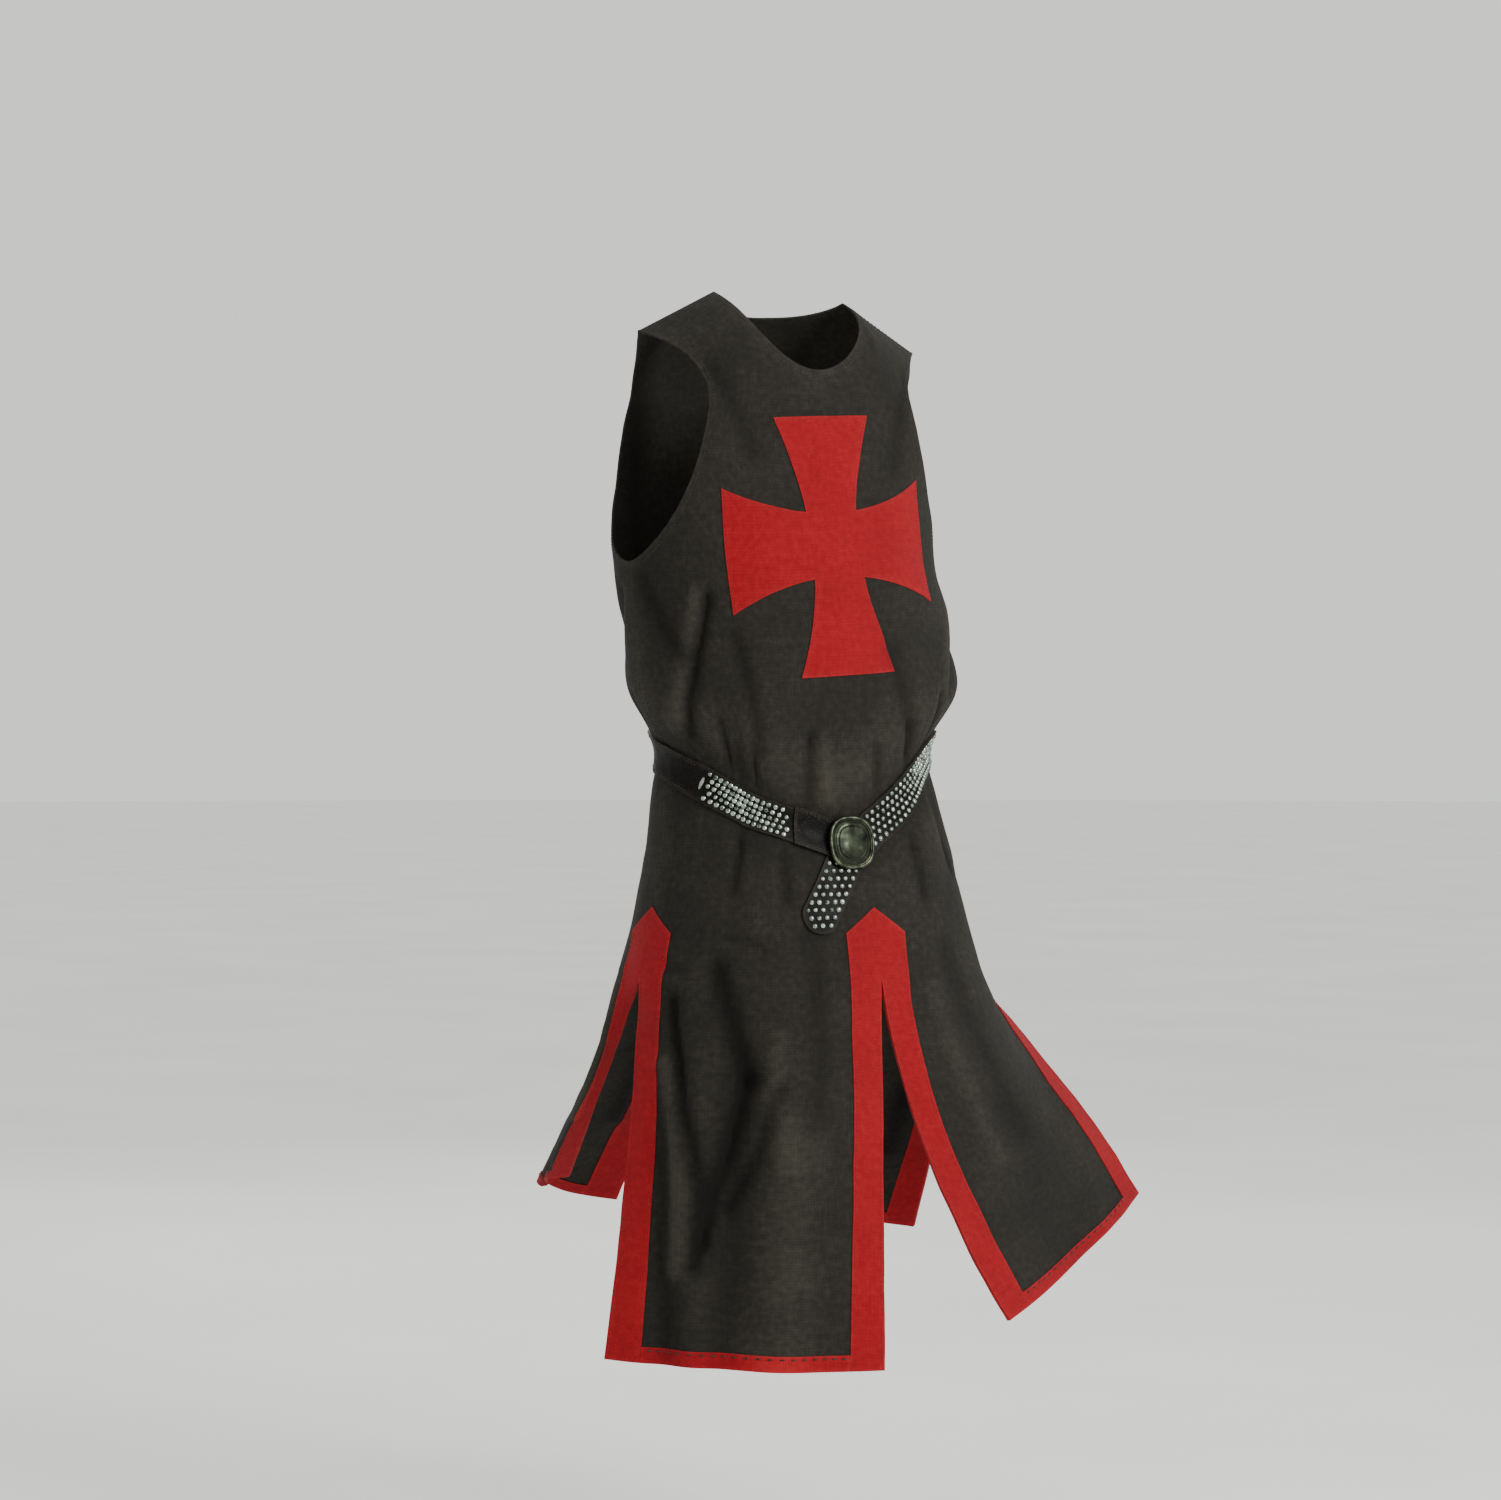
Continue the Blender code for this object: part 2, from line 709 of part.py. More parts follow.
def cross_outline():
    """A cross pattee: four arms with hollow sides that widen towards straight ends."""
    upright = (CROSS_BEAM_WAIST, CROSS_HALF_HEIGHT, CROSS_UPRIGHT_WAIST, CROSS_UPRIGHT_END)
    beam = (CROSS_UPRIGHT_WAIST, CROSS_HALF_WIDTH, CROSS_BEAM_WAIST, CROSS_BEAM_END)
    outline = []
    for (out_x, out_y), arm in (((0, -1), upright), ((1, 0), beam), ((0, 1), upright), ((-1, 0), beam)):
        root, reach, waist, end = arm
        side = []
        for n in range(CROSS_STEPS + 1):
            share = n / CROSS_STEPS
            side.append((root + (reach - root) * share, waist + (end - waist) * share**CROSS_HOLLOW))
        edge = [(along, -wide) for along, wide in side] + [(along, wide) for along, wide in side[::-1]]
        for along, wide in edge[:-1]:
            around = out_x * along - out_y * wide
            down = out_y * along + out_x * wide
            outline.append((around, CROSS_CENTRE + down - CROSS_TILT * around))
    return outline


def ribbon(line, width):
    """The outline of a strap of even width along a line on the cloth."""
    middles = [Vector((mark.around, mark.down + SHOULDER_RISE)) for mark in line]
    upper, lower = [], []
    for n, middle in enumerate(middles):
        before = middles[max(n - 1, 0)]
        after = middles[min(n + 1, len(middles) - 1)]
        along = (after - before).normalized()
        across = Vector((along.y, -along.x)) * width / 2
        upper.append(tuple(middle + across))
        lower.append(tuple(middle - across))
    return upper, lower


def belt_stretch(net, start, end):
    """Marks where the belt's middle line crosses each column between two distances round."""
    turn = 4 * QUARTER
    columns = [column + lap * turn for lap in (-1, 0, 1) for column in net.columns]
    columns = [column for column in columns if start < column < end]
    places = [place for place in columns if min(place - start, end - place) > MARK_APART]
    return [Mark(around, belt_down(around)) for around in [start, *places, end]]


def tail_outline():
    """The belt's free end: it leaves the strap under the plate and ends in a round tip."""
    line = [Mark(*spline(range(len(TAIL_LINE)), TAIL_LINE, n / 2)) for n in range(7)]
    upper, lower = ribbon(line, TAIL_WIDTH)
    tip = Vector((line[-1].around, line[-1].down + SHOULDER_RISE))
    along = (tip - Vector((line[-2].around, line[-2].down + SHOULDER_RISE))).normalized()
    across = Vector((along.y, -along.x))
    ends = [
        tip + (across * math.cos(turn) + along * TAIL_TIP * math.sin(turn)) * TAIL_WIDTH / 2
        for turn in (math.pi / 4, math.pi / 2, math.pi * 3 / 4)
    ]
    return upper, lower, [tuple(end) for end in ends]


def belt_strap(net):
    """The studded strap: from its free end, under the plate, round the back to its left end."""
    low = CLOTH + GAP
    body = belt_stretch(net, BELT_STRAP_FROM, BELT_STRAP_TO)
    upper, lower = ribbon(body, BELT_WIDTH)
    left_side, right_side, tip = tail_outline()
    outline = upper + lower[::-1] + left_side[1:] + tip + right_side[1:][::-1]
    return lay_piece(net, "belt_strap", (Layer(outline, low, low + LEATHER),), BLACK_LEATHER)


def belt_end(net):
    """The smooth leather over the strap's left end, which carries the plate."""
    low = CLOTH + GAP + LEATHER + GAP
    line = belt_stretch(net, 4 * QUARTER + BELT_END_FROM, 4 * QUARTER + BELT_END_TO)
    upper, lower = ribbon(line, BELT_WIDTH + 2 * BELT_END_MARGIN)
    outline = upper + lower[::-1]
    layers = (Layer(outline, low, low + BELT_END_LEATHER),)
    return lay_piece(net, "belt_end", layers, BLACK_LEATHER)


def belt_plate(net):
    """The domed oval plate, flat behind, seated square on the crossing of the straps."""
    row = belt_down(PLATE_AT) + SHOULDER_RISE
    low = CLOTH + GAP + LEATHER + GAP + BELT_END_LEATHER + GAP
    column = net.column_place(PLATE_AT)
    place = net.row_place(row)
    seat = net.laid(column, place, low)
    left = net.laid(net.column_place(PLATE_AT - PLATE_WIDTH / 2), place, low)
    right = net.laid(net.column_place(PLATE_AT + PLATE_WIDTH / 2), place, low)
    top = net.laid(column, net.row_place(row - PLATE_HEIGHT / 2), low)
    foot = net.laid(column, net.row_place(row + PLATE_HEIGHT / 2), low)
    side = (right - left).normalized()
    out = side.cross(top - foot).normalized()
    up = out.cross(side)
    proud = -LEATHER
    for across in np.linspace(-1, 1, PLATE_TRIALS).tolist():
        for along in np.linspace(-1, 1, PLATE_TRIALS).tolist():
            if math.hypot(across, along) > PLATE_TRIAL_REACH:
                continue
            around = PLATE_AT + across * PLATE_WIDTH / 2
            under = low if around < BELT_END_TO + GAP else low - BELT_END_LEATHER - GAP
            trial = (net.column_place(around), net.row_place(row + along * PLATE_HEIGHT / 2))
            proud = max(proud, (net.laid(*trial, under) - seat).dot(out))
    seat += out * proud
    mesh = bmesh.new()
    rings = ((1.0, 0.0), (1.0, 0.6), (0.94, 1.0), (0.5, 1.0 + 0.7 * PLATE_DOME / PLATE_THICK))
    loops = []
    for share, height in rings:
        loop = []
        for n in range(PLATE_SIDES):
            turn = 2 * math.pi * n / PLATE_SIDES
            wide = math.copysign(abs(math.cos(turn)) ** PLATE_ROUND, math.cos(turn)) * PLATE_WIDTH / 2
            high = math.copysign(abs(math.sin(turn)) ** PLATE_ROUND, math.sin(turn)) * PLATE_HEIGHT / 2
            place = seat + (side * wide + up * high) * share + out * height * PLATE_THICK
            loop.append(mesh.verts.new(place))
        loops.append([mesh.edges.new((loop[n - 1], loop[n])) for n in range(PLATE_SIDES)])
    for lower, upper in zip(loops, loops[1:]):
        bmesh.ops.bridge_loops(mesh, edges=lower + upper)
    bmesh.ops.contextual_create(mesh, geom=loops[0])
    bmesh.ops.contextual_create(mesh, geom=loops[-1])
    face_outward(mesh)
    return new_part("belt_plate", mesh, ANTIQUE_BRASS)


def clear_scene():
    for old in list(bpy.data.objects):
        bpy.data.objects.remove(old, do_unlink=True)


def build():
    """Makes every piece of the tabard."""
    clear_scene()
    collection = bpy.data.collections.new(OBJECT_NAME)
    bpy.context.scene.collection.children.link(collection)
    net = Net()
    front = Layer(panel_outline(FRONT_NECK), 0.0, CLOTH)
    back = Layer(moved(panel_outline(BACK_NECK), 2 * QUARTER), 0.0, CLOTH)
    lay_piece(net, "front_panel", (front,), CHARCOAL_COTTON)
    lay_piece(net, "back_panel", (back,), CHARCOAL_COTTON)
    above = CLOTH + GAP
    cross = Layer(cross_outline(), above, above + BAND)
    lay_piece(net, "cross_applique", (cross,), RED_COTTON)
    slit_band(net, "slit_band_front", 0.0)
    slit_band(net, "slit_band_left", QUARTER)
    slit_band(net, "slit_band_back", 2 * QUARTER)
    slit_band(net, "slit_band_right", 3 * QUARTER)
    for k, quarter in enumerate(QUARTERS):
        hem_band(net, "hem_band_" + quarter.name, k * QUARTER)
    belt_strap(net)
    belt_end(net)
    belt_plate(net)


build()
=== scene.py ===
"""A worn cotton tabard with its studded belt, dressed over its solid model.

Metres, +Z up. The front faces -Y and the wearer's left is +X.

The cloth is one net of columns and rows, bent into the worn shape. Every cloth or leather piece
is a flat pattern, in metres round the garment and down the cloth, that is cut along the net and
laid on it at its own height. The same pattern coordinates are the piece's UV map, so that weave,
wear and stitching follow the cloth.
"""

import logging
import math
from collections.abc import Callable
from dataclasses import dataclass, field
from enum import Enum
from typing import NamedTuple

import bmesh
import bpy
import numpy as np
from mathutils import Matrix, Vector, noise

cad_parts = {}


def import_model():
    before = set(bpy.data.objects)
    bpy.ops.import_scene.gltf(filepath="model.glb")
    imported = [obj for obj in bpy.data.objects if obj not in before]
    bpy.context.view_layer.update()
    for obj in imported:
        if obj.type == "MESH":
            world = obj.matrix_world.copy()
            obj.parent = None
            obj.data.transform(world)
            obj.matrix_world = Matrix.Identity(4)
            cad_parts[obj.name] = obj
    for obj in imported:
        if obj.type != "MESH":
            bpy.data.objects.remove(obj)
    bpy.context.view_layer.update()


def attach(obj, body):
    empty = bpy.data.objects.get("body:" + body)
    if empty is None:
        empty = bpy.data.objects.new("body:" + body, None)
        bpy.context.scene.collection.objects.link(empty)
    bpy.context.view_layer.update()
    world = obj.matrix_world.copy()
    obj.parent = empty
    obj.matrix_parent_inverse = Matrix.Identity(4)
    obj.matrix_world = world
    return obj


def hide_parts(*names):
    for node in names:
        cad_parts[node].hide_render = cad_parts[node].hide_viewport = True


LOG = logging.getLogger("tabard")
BODY = "root"
UV_NAME = "Pattern"
Flat = tuple[float, float]
Socket = bpy.types.NodeSocket

NET_CELL = 0.0066  # size of a cell of the cloth's net
TINY = 1e-12  # keeps a length that is divided by from being nothing
LEVEL = 1e-6  # places closer than this are the same
WELD = 2e-5  # points of two layers closer than this are joined
LEAST_MITRE = 0.7  # least cosine between a shoulder edge and its mitre
CAST_EDGE = math.radians(42)  # metal is shaded sharp from this angle
CLOTH_EDGE = math.radians(50)  # and cloth and leather from this one


# The cut of the garment ------------------------------------------------------------------------


@dataclass(frozen=True)
class Cut:
    """The flat pattern's sizes in metres, as the solid model has them."""

    cloth: float = 0.0020
    band: float = 0.0010
    leather: float = 0.0030
    belt_end_leather: float = 0.0020
    gap: float = 0.0003
    quarter: float = 0.290
    slit: float = 0.003
    neck_half: float = 0.085
    shoulder_end: float = 0.182
    shoulder_slope: float = 0.52
    shoulder_reach: float = 0.165
    shoulder_rise: float = 0.058
    front_neck: float = 0.147
    back_neck: float = 0.045
    armhole_foot: float = 0.355
    armhole_waist: float = 0.158
    armhole_corner: float = 0.150
    armhole_upper: float = 0.080
    armhole_upper_out: float = 0.010
    armhole_margin: float = 0.030
    slit_top: float = 0.805
    hem: float = 1.218
    seam_forward: float = 0.008
    row_shoulder: float = 0.225
    yoke_ease: float = 0.030
    centre_ease: float = 0.030
    side_ease: float = 0.010
    hip_ease: float = 0.030
    strip_width: float = 0.038
    strip_point: float = 0.728
    strip_shoulder: float = 0.755
    hem_band_width: float = 0.016

    @property
    def turn(self) -> float:
        """The whole distance round the pattern."""
        return 4 * self.quarter


CUT = Cut()


class Section(NamedTuple):
    """A level outline of the worn cloth, `down` below the neck points."""

    down: float
    shift: float
    half_width: float
    front: float
    back: float
    square: float
    turn: float


SECTIONS = (
    Section(0.000, 0.000, 0.190, 0.100, 0.094, 2.5, -0.010),
    Section(0.090, -0.004, 0.188, 0.106, 0.100, 2.5, -0.012),
    Section(0.190, -0.008, 0.186, 0.125, 0.112, 2.4, -0.011),
    Section(0.280, -0.008, 0.186, 0.140, 0.116, 2.3, -0.008),
    Section(0.420, 0.018, 0.190, 0.139, 0.112, 2.2, -0.014),
    Section(0.510, 0.018, 0.167, 0.124, 0.100, 2.2, -0.008),
    Section(0.600, 0.026, 0.176, 0.136, 0.118, 2.2, -0.002),
    Section(0.700, 0.031, 0.199, 0.154, 0.146, 2.1, -0.003),
    Section(0.747, 0.033, 0.211, 0.166, 0.166, 2.1, -0.008),
)


class Quarter(NamedTuple):
    """One of the four hanging parts of the skirt, by the two corners of its hem."""

    name: str
    side: int
    front: bool
    centre_corner: tuple[float, float, float]
    side_corner: tuple[float, float, float]
    bow: float
    centre_sway: float
    side_sway: float


QUARTERS = (
    Quarter("front_left", 1, True, (0.185, -0.181, -1.124), (0.470, -0.060, -1.020), 0.012, -0.024, 0.016),
    Quarter("back_left", 1, False, (0.095, 0.390, -1.062), (0.335, 0.200, -1.080), 0.040, 0.0, 0.010),
    Quarter("back_right", -1, False, (0.032, 0.398, -1.046), (-0.100, 0.282, -0.996), 0.065, 0.0, 0.0),
    Quarter("front_right", -1, True, (0.018, -0.184, -1.160), (-0.229, -0.018, -1.149), 0.034, 0.0, 0.006),
)


class Fold(NamedTuple):
    """A soft ridge, or a trough where its depth is negative, that the solid model has too."""

    around: float
    top: float
    foot: float
    drift: float
    half_width: float
    depth: float


FOLDS = (
    Fold(-0.235, 0.790, 1.400, 0.012, 0.020, -0.010),
    Fold(-0.200, 0.800, 1.400, 0.014, 0.024, 0.012),
    Fold(-0.160, 0.780, 1.300, -0.030, 0.026, -0.014),
    Fold(-0.100, 0.820, 1.400, -0.020, 0.030, 0.008),
    Fold(-0.175, 0.420, 0.640, 0.020, 0.022, -0.007),
    Fold(-0.110, 0.480, 0.660, 0.010, 0.026, 0.005),
    Fold(-0.055, 0.560, 0.680, 0.000, 0.022, -0.005),
    Fold(0.120, 0.500, 0.680, -0.010, 0.026, 0.006),
    Fold(0.190, 0.430, 0.660, -0.015, 0.026, -0.007),
    Fold(0.130, 0.840, 1.400, 0.030, 0.045, -0.006),
    Fold(0.400, 0.760, 1.400, 0.020, 0.034, 0.014),
    Fold(0.460, 0.800, 1.400, 0.020, 0.030, -0.012),
    Fold(0.515, 0.460, 0.700, 0.000, 0.028, 0.008),
    Fold(0.650, 0.460, 0.700, 0.000, 0.028, -0.008),
    Fold(0.690, 0.760, 1.400, 0.010, 0.036, 0.010),
    Fold(0.770, 0.780, 1.400, 0.005, 0.034, -0.008),
)


class Crease(NamedTuple):
    """A narrow crease along a path of the pattern, as distance round and down from the neck."""

    half_width: float
    depth: float
    path: tuple[Flat, ...]


def crease(half_width: float, depth: float, *path: Flat) -> Crease:
    """A trough, or a ridge where its depth is positive, from sizes in millimetres."""
    return Crease(half_width / 1000, depth / 1000, tuple((a / 1000, d / 1000) for a, d in path))


CREASES = (
    # Front of the chest
    crease(8, -4, (-178, 340), (-198, 384), (-214, 416), (-230, 444), (-236, 480)),
    crease(10, 2.6, (-196, 336), (-216, 384), (-236, 430), (-254, 470)),
    crease(12, -2.2, (-146, 384), (-130, 436), (-114, 500)),
    crease(6, -3, (-44, 486), (-50, 527), (-58, 562)),
    crease(8, 1.6, (-30, 492), (-34, 550)),
    crease(12, -2, (54, 392), (74, 444), (92, 500)),
    crease(14, -3, (262, 330), (226, 372), (186, 430)),
    crease(12, 2, (246, 310), (204, 352), (166, 400)),
    crease(14, -2.6, (-264, 318), (-246, 366), (-226, 400)),
    crease(16, -1.8, (-150, 70), (-118, 130), (-90, 180)),
    crease(16, -1.8, (150, 70), (120, 130), (96, 190)),
    # Front of the skirt
    crease(9, -5.5, (-236, 768), (-230, 800), (-218, 842), (-202, 913), (-194, 973), (-198, 1053)),
    crease(11, 4, (-240, 836), (-234, 868), (-226, 913), (-218, 980), (-220, 1060)),
    crease(12, -5, (-186, 734), (-168, 786), (-150, 850)),
    crease(8, -4.6, (-150, 850), (-160, 893), (-182, 969), (-192, 1030)),
    crease(7, -3, (-120, 860), (-138, 930), (-166, 990)),
    crease(9, 2, (-120, 800), (-126, 860), (-112, 940)),
    crease(5, -1.6, (-178, 698), (-158, 702), (-134, 710)),
    crease(5, -1.6, (-250, 730), (-226, 736)),
    crease(14, -1.6, (-80, 700), (-76, 800), (-84, 900)),
    crease(16, -1.8, (100, 720), (130, 830), (150, 960)),
    crease(14, 1.6, (70, 760), (90, 860), (100, 980)),
    crease(10, -2.2, (210, 640), (236, 700), (250, 780)),
    # Gathers held by the belt, front
    crease(7, -3, (-190, 470), (-186, 520)),
    crease(6, -2.4, (-128, 500), (-122, 545)),
    crease(7, -2.6, (36, 500), (34, 550)),
    crease(6, -2.8, (86, 470), (90, 520)),
    crease(7, -3.2, (150, 440), (152, 490)),
    crease(7, -3, (214, 430), (220, 480)),
    crease(8, -2.8, (-170, 590), (-178, 650)),
    crease(8, -2.4, (-100, 610), (-104, 660)),
    crease(8, -2.6, (70, 600), (78, 660)),
    crease(8, -3, (160, 550), (176, 630)),
    # Back
    crease(30, -2.6, (440, 150), (446, 240), (462, 330)),
    crease(24, 1.8, (500, 120), (506, 220), (520, 300)),
    crease(26, -2, (706, 130), (704, 220), (680, 320)),
    crease(15, -2.6, (470, 330), (520, 372), (572, 388)),
    crease(12, -2, (600, 398), (640, 386), (690, 352)),
    crease(11, -1.8, (560, 352), (600, 348)),
    crease(13, 1.8, (500, 400), (550, 416), (590, 420)),
    crease(12, -2.2, (690, 400), (730, 388), (770, 360)),
    crease(12, -3, (322, 330), (360, 372), (400, 410)),
    crease(12, -3, (838, 330), (800, 376), (764, 420)),
    crease(8, -3, (350, 430), (352, 474)),
    crease(7, -2.8, (410, 420), (414, 468)),
    crease(8, -3.2, (470, 424), (472, 466)),
    crease(7, -2.8, (545, 426), (546, 466)),
    crease(8, -3.2, (610, 422), (608, 468)),
    crease(7, -2.8, (700, 426), (698, 470)),
    crease(8, -3, (780, 424), (776, 474)),
    crease(8, -2.8, (836, 440), (834, 486)),
    crease(9, -3, (380, 520), (372, 590)),
    crease(9, -2.8, (450, 516), (456, 580)),
    crease(9, -3, (540, 520), (536, 600)),
    crease(9, -2.8, (630, 520), (634, 590)),
    crease(9, -3, (730, 524), (738, 600)),
    crease(14, -4, (350, 740), (356, 880), (350, 1040)),
    crease(14, 3.4, (500, 720), (510, 860), (520, 1020)),
    crease(12, -3.4, (545, 760), (552, 880), (556, 1010)),
    crease(13, -3.6, (640, 740), (634, 860), (626, 1010)),
    crease(13, 3, (820, 740), (822, 880), (830, 1010)),
)


class Mark(NamedTuple):
    """A point of a line on the cloth: round the garment, and below the neck points."""

    around: float
    down: float

    @property
    def flat(self) -> Flat:
        """Its place on the pattern."""
        return self.around, self.down + CUT.shoulder_rise


BELT_LINE = (
    Mark(-0.014, 0.602),
    Mark(0.044, 0.570),
    Mark(0.112, 0.532),
    Mark(0.180, 0.508),
    Mark(0.290, 0.493),
    Mark(0.580, 0.486),
    Mark(0.800, 0.498),
    Mark(0.870, 0.514),
    Mark(0.946, 0.544),
    Mark(1.010, 0.563),
    Mark(1.080, 0.580),
    Mark(1.146, 0.602),
)
TAIL_LINE = (Mark(-0.014, 0.602), Mark(-0.035, 0.631), Mark(-0.054, 0.659), Mark(-0.068, 0.680))


def spline(knots, values, at: float) -> np.ndarray:
    """Reads a smooth curve through values at rising knots, held level past either end.

    Args:
        knots: The rising places of the values.
        values: A number or a row of numbers at each knot.
        at: Where to read the curve.

    Returns:
        The value, or row of values, there.
    """
    knots = np.asarray(knots, float)
    values = np.asarray(values, float)
    at = min(max(at, knots[0]), knots[-1])
    slopes = np.gradient(values, knots, axis=0)
    k = min(max(int(np.searchsorted(knots, at)) - 1, 0), len(knots) - 2)
    span = knots[k + 1] - knots[k]
    f = (at - knots[k]) / span
    rise = f * f * (3 - 2 * f)
    lead = f * (1 - f) ** 2 * span
    trail = -f * f * (1 - f) * span
    return values[k] * (1 - rise) + values[k + 1] * rise + slopes[k] * lead + slopes[k + 1] * trail


def soft_step(value, start: float, end: float):
    """Rises smoothly from 0 at start to 1 at end, for a number or an array."""
    f = np.clip((value - start) / (end - start), 0.0, 1.0)
    return f * f * (3 - 2 * f)


def belt_down(around: float) -> float:
    """How far below the neck points the middle of the belt lies."""
    line = [mark.around for mark in BELT_LINE]
    around = (around - line[0]) % CUT.turn + line[0]
    return float(spline(line, [mark.down for mark in BELT_LINE], around))


@dataclass
class WornForm:
    """The worn shape of the cloth, before its folds.

    Attributes:
        cut: The flat pattern.
        arcs: Half outlines that have been worked out already, by level and side.
    """

    cut: Cut = CUT
    arcs: dict = field(default_factory=dict)

    def half_arc(self, down: float, front: bool) -> tuple:
        """The front or back half of the cloth's outline at a level.

        Args:
            down: The level, below the neck points.
            front: Whether it is the front half.

        Returns:
            The section there, and x, y and distance from the middle along the half outline.
        """
        key = (round(down, 7), front)
        if key in self.arcs:
            return self.arcs[key]
        section = Section(*spline([s.down for s in SECTIONS], SECTIONS, down))
        forward = self.cut.seam_forward
        turn = np.linspace(0, math.pi / 2, 49)
        power = 2 / section.square
        depth = forward - section.front if front else forward + section.back
        out = section.half_width * np.sin(turn) ** power
        y = depth * np.cos(turn) ** power - forward
        length = np.concatenate([[0.0], np.cumsum(np.hypot(np.diff(out), np.diff(y)))])
        x = section.shift + np.concatenate([-out[:0:-1], out])
        self.arcs[key] = section, x, np.concatenate([y[:0:-1], y]), np.concatenate([-length[:0:-1], length])
        return self.arcs[key]

    def shared_width(self, distance: float, whole: float) -> float:
        """A pattern distance from the centre line, on a row that is `whole` wide."""
        cut = self.cut
        start, end = cut.strip_width + cut.centre_ease, cut.quarter - cut.strip_width - cut.side_ease
        return distance + (whole - cut.quarter) * float(soft_step(distance, start, end))

    def body_point(self, quarter: Quarter, distance: float, row: float) -> np.ndarray:
        """A point of the cloth above the slits, from its pattern distance and row."""
        cut = self.cut
        seam = cut.shoulder_slope * (min(max(distance, cut.neck_half), cut.shoulder_end) - cut.neck_half)
        down = row + seam * (1 - float(soft_step(row, 0.0, cut.row_shoulder + cut.yoke_ease)))
        reach = min((down - seam) / cut.shoulder_reach, 1.0)
        height = -(down - cut.shoulder_rise * (1 - (1 - reach) ** 2))
        section, x, y, length = self.half_arc(down - cut.shoulder_rise, quarter.front)
        at = quarter.side * self.shared_width(distance, length[-1])
        at += section.turn * (1 - float(soft_step(distance, 0.0, cut.quarter)))
        fullness = math.sin(reach * math.pi / 2)
        flat = np.array((section.shift + quarter.side * distance, -cut.seam_forward, height))
        full = np.array((np.interp(at, length, x), np.interp(at, length, y), height))
        return flat + (full - flat) * fullness

    def hem_point(self, quarter: Quarter, distance: float) -> np.ndarray:
        """A point of the hem, on the bowed line between the quarter's two corners."""
        centre, side = np.array(quarter.centre_corner), np.array(quarter.side_corner)
        chord = side - centre
        long = float(np.linalg.norm(chord))
        out = np.array((chord[1], -chord[0], 0.0))
        out /= np.linalg.norm(out)
        if out @ (centre + side) < 0:
            out = -out
        whole = long * (1 + (quarter.bow / long) ** 2 * 8 / 3)
        share = self.shared_width(distance, whole) / whole
        return centre + chord * share + out * quarter.bow * 4 * share * (1 - share)

    def column(self, quarter: Quarter, distance: float, rows: np.ndarray) -> np.ndarray:
        """The worn places of one column of the net.

        Args:
            quarter: The quarter that the column lies in.
            distance: Its pattern distance from that quarter's centre line.
            rows: The rows' distances down the cloth.

        Returns:
            A row of x, y and z for each row of the net.
        """
        cut = self.cut
        body = [self.body_point(quarter, distance, row) for row in rows if row <= cut.slit_top]
        start = self.body_point(quarter, distance, cut.slit_top)
        above = self.body_point(quarter, distance, cut.slit_top - cut.hip_ease)
        fall = self.hem_point(quarter, distance) - start
        share = ((rows[len(body) :] - cut.slit_top) / (cut.hem - cut.slit_top))[:, None]
        ease = (start - above) * (cut.hem - cut.slit_top) / cut.hip_ease - fall
        across = min(max(distance / cut.quarter, 0.0), 1.0)
        sway = quarter.centre_sway + (quarter.side_sway - quarter.centre_sway) * across
        lean = np.array((sway, 0.0, 0.0)) * 4 * share * (1 - share)
        leave = ease * math.sin(math.pi * across) * share * (1 - share) ** 2
        return np.vstack([body, start + fall * share + leave + lean])


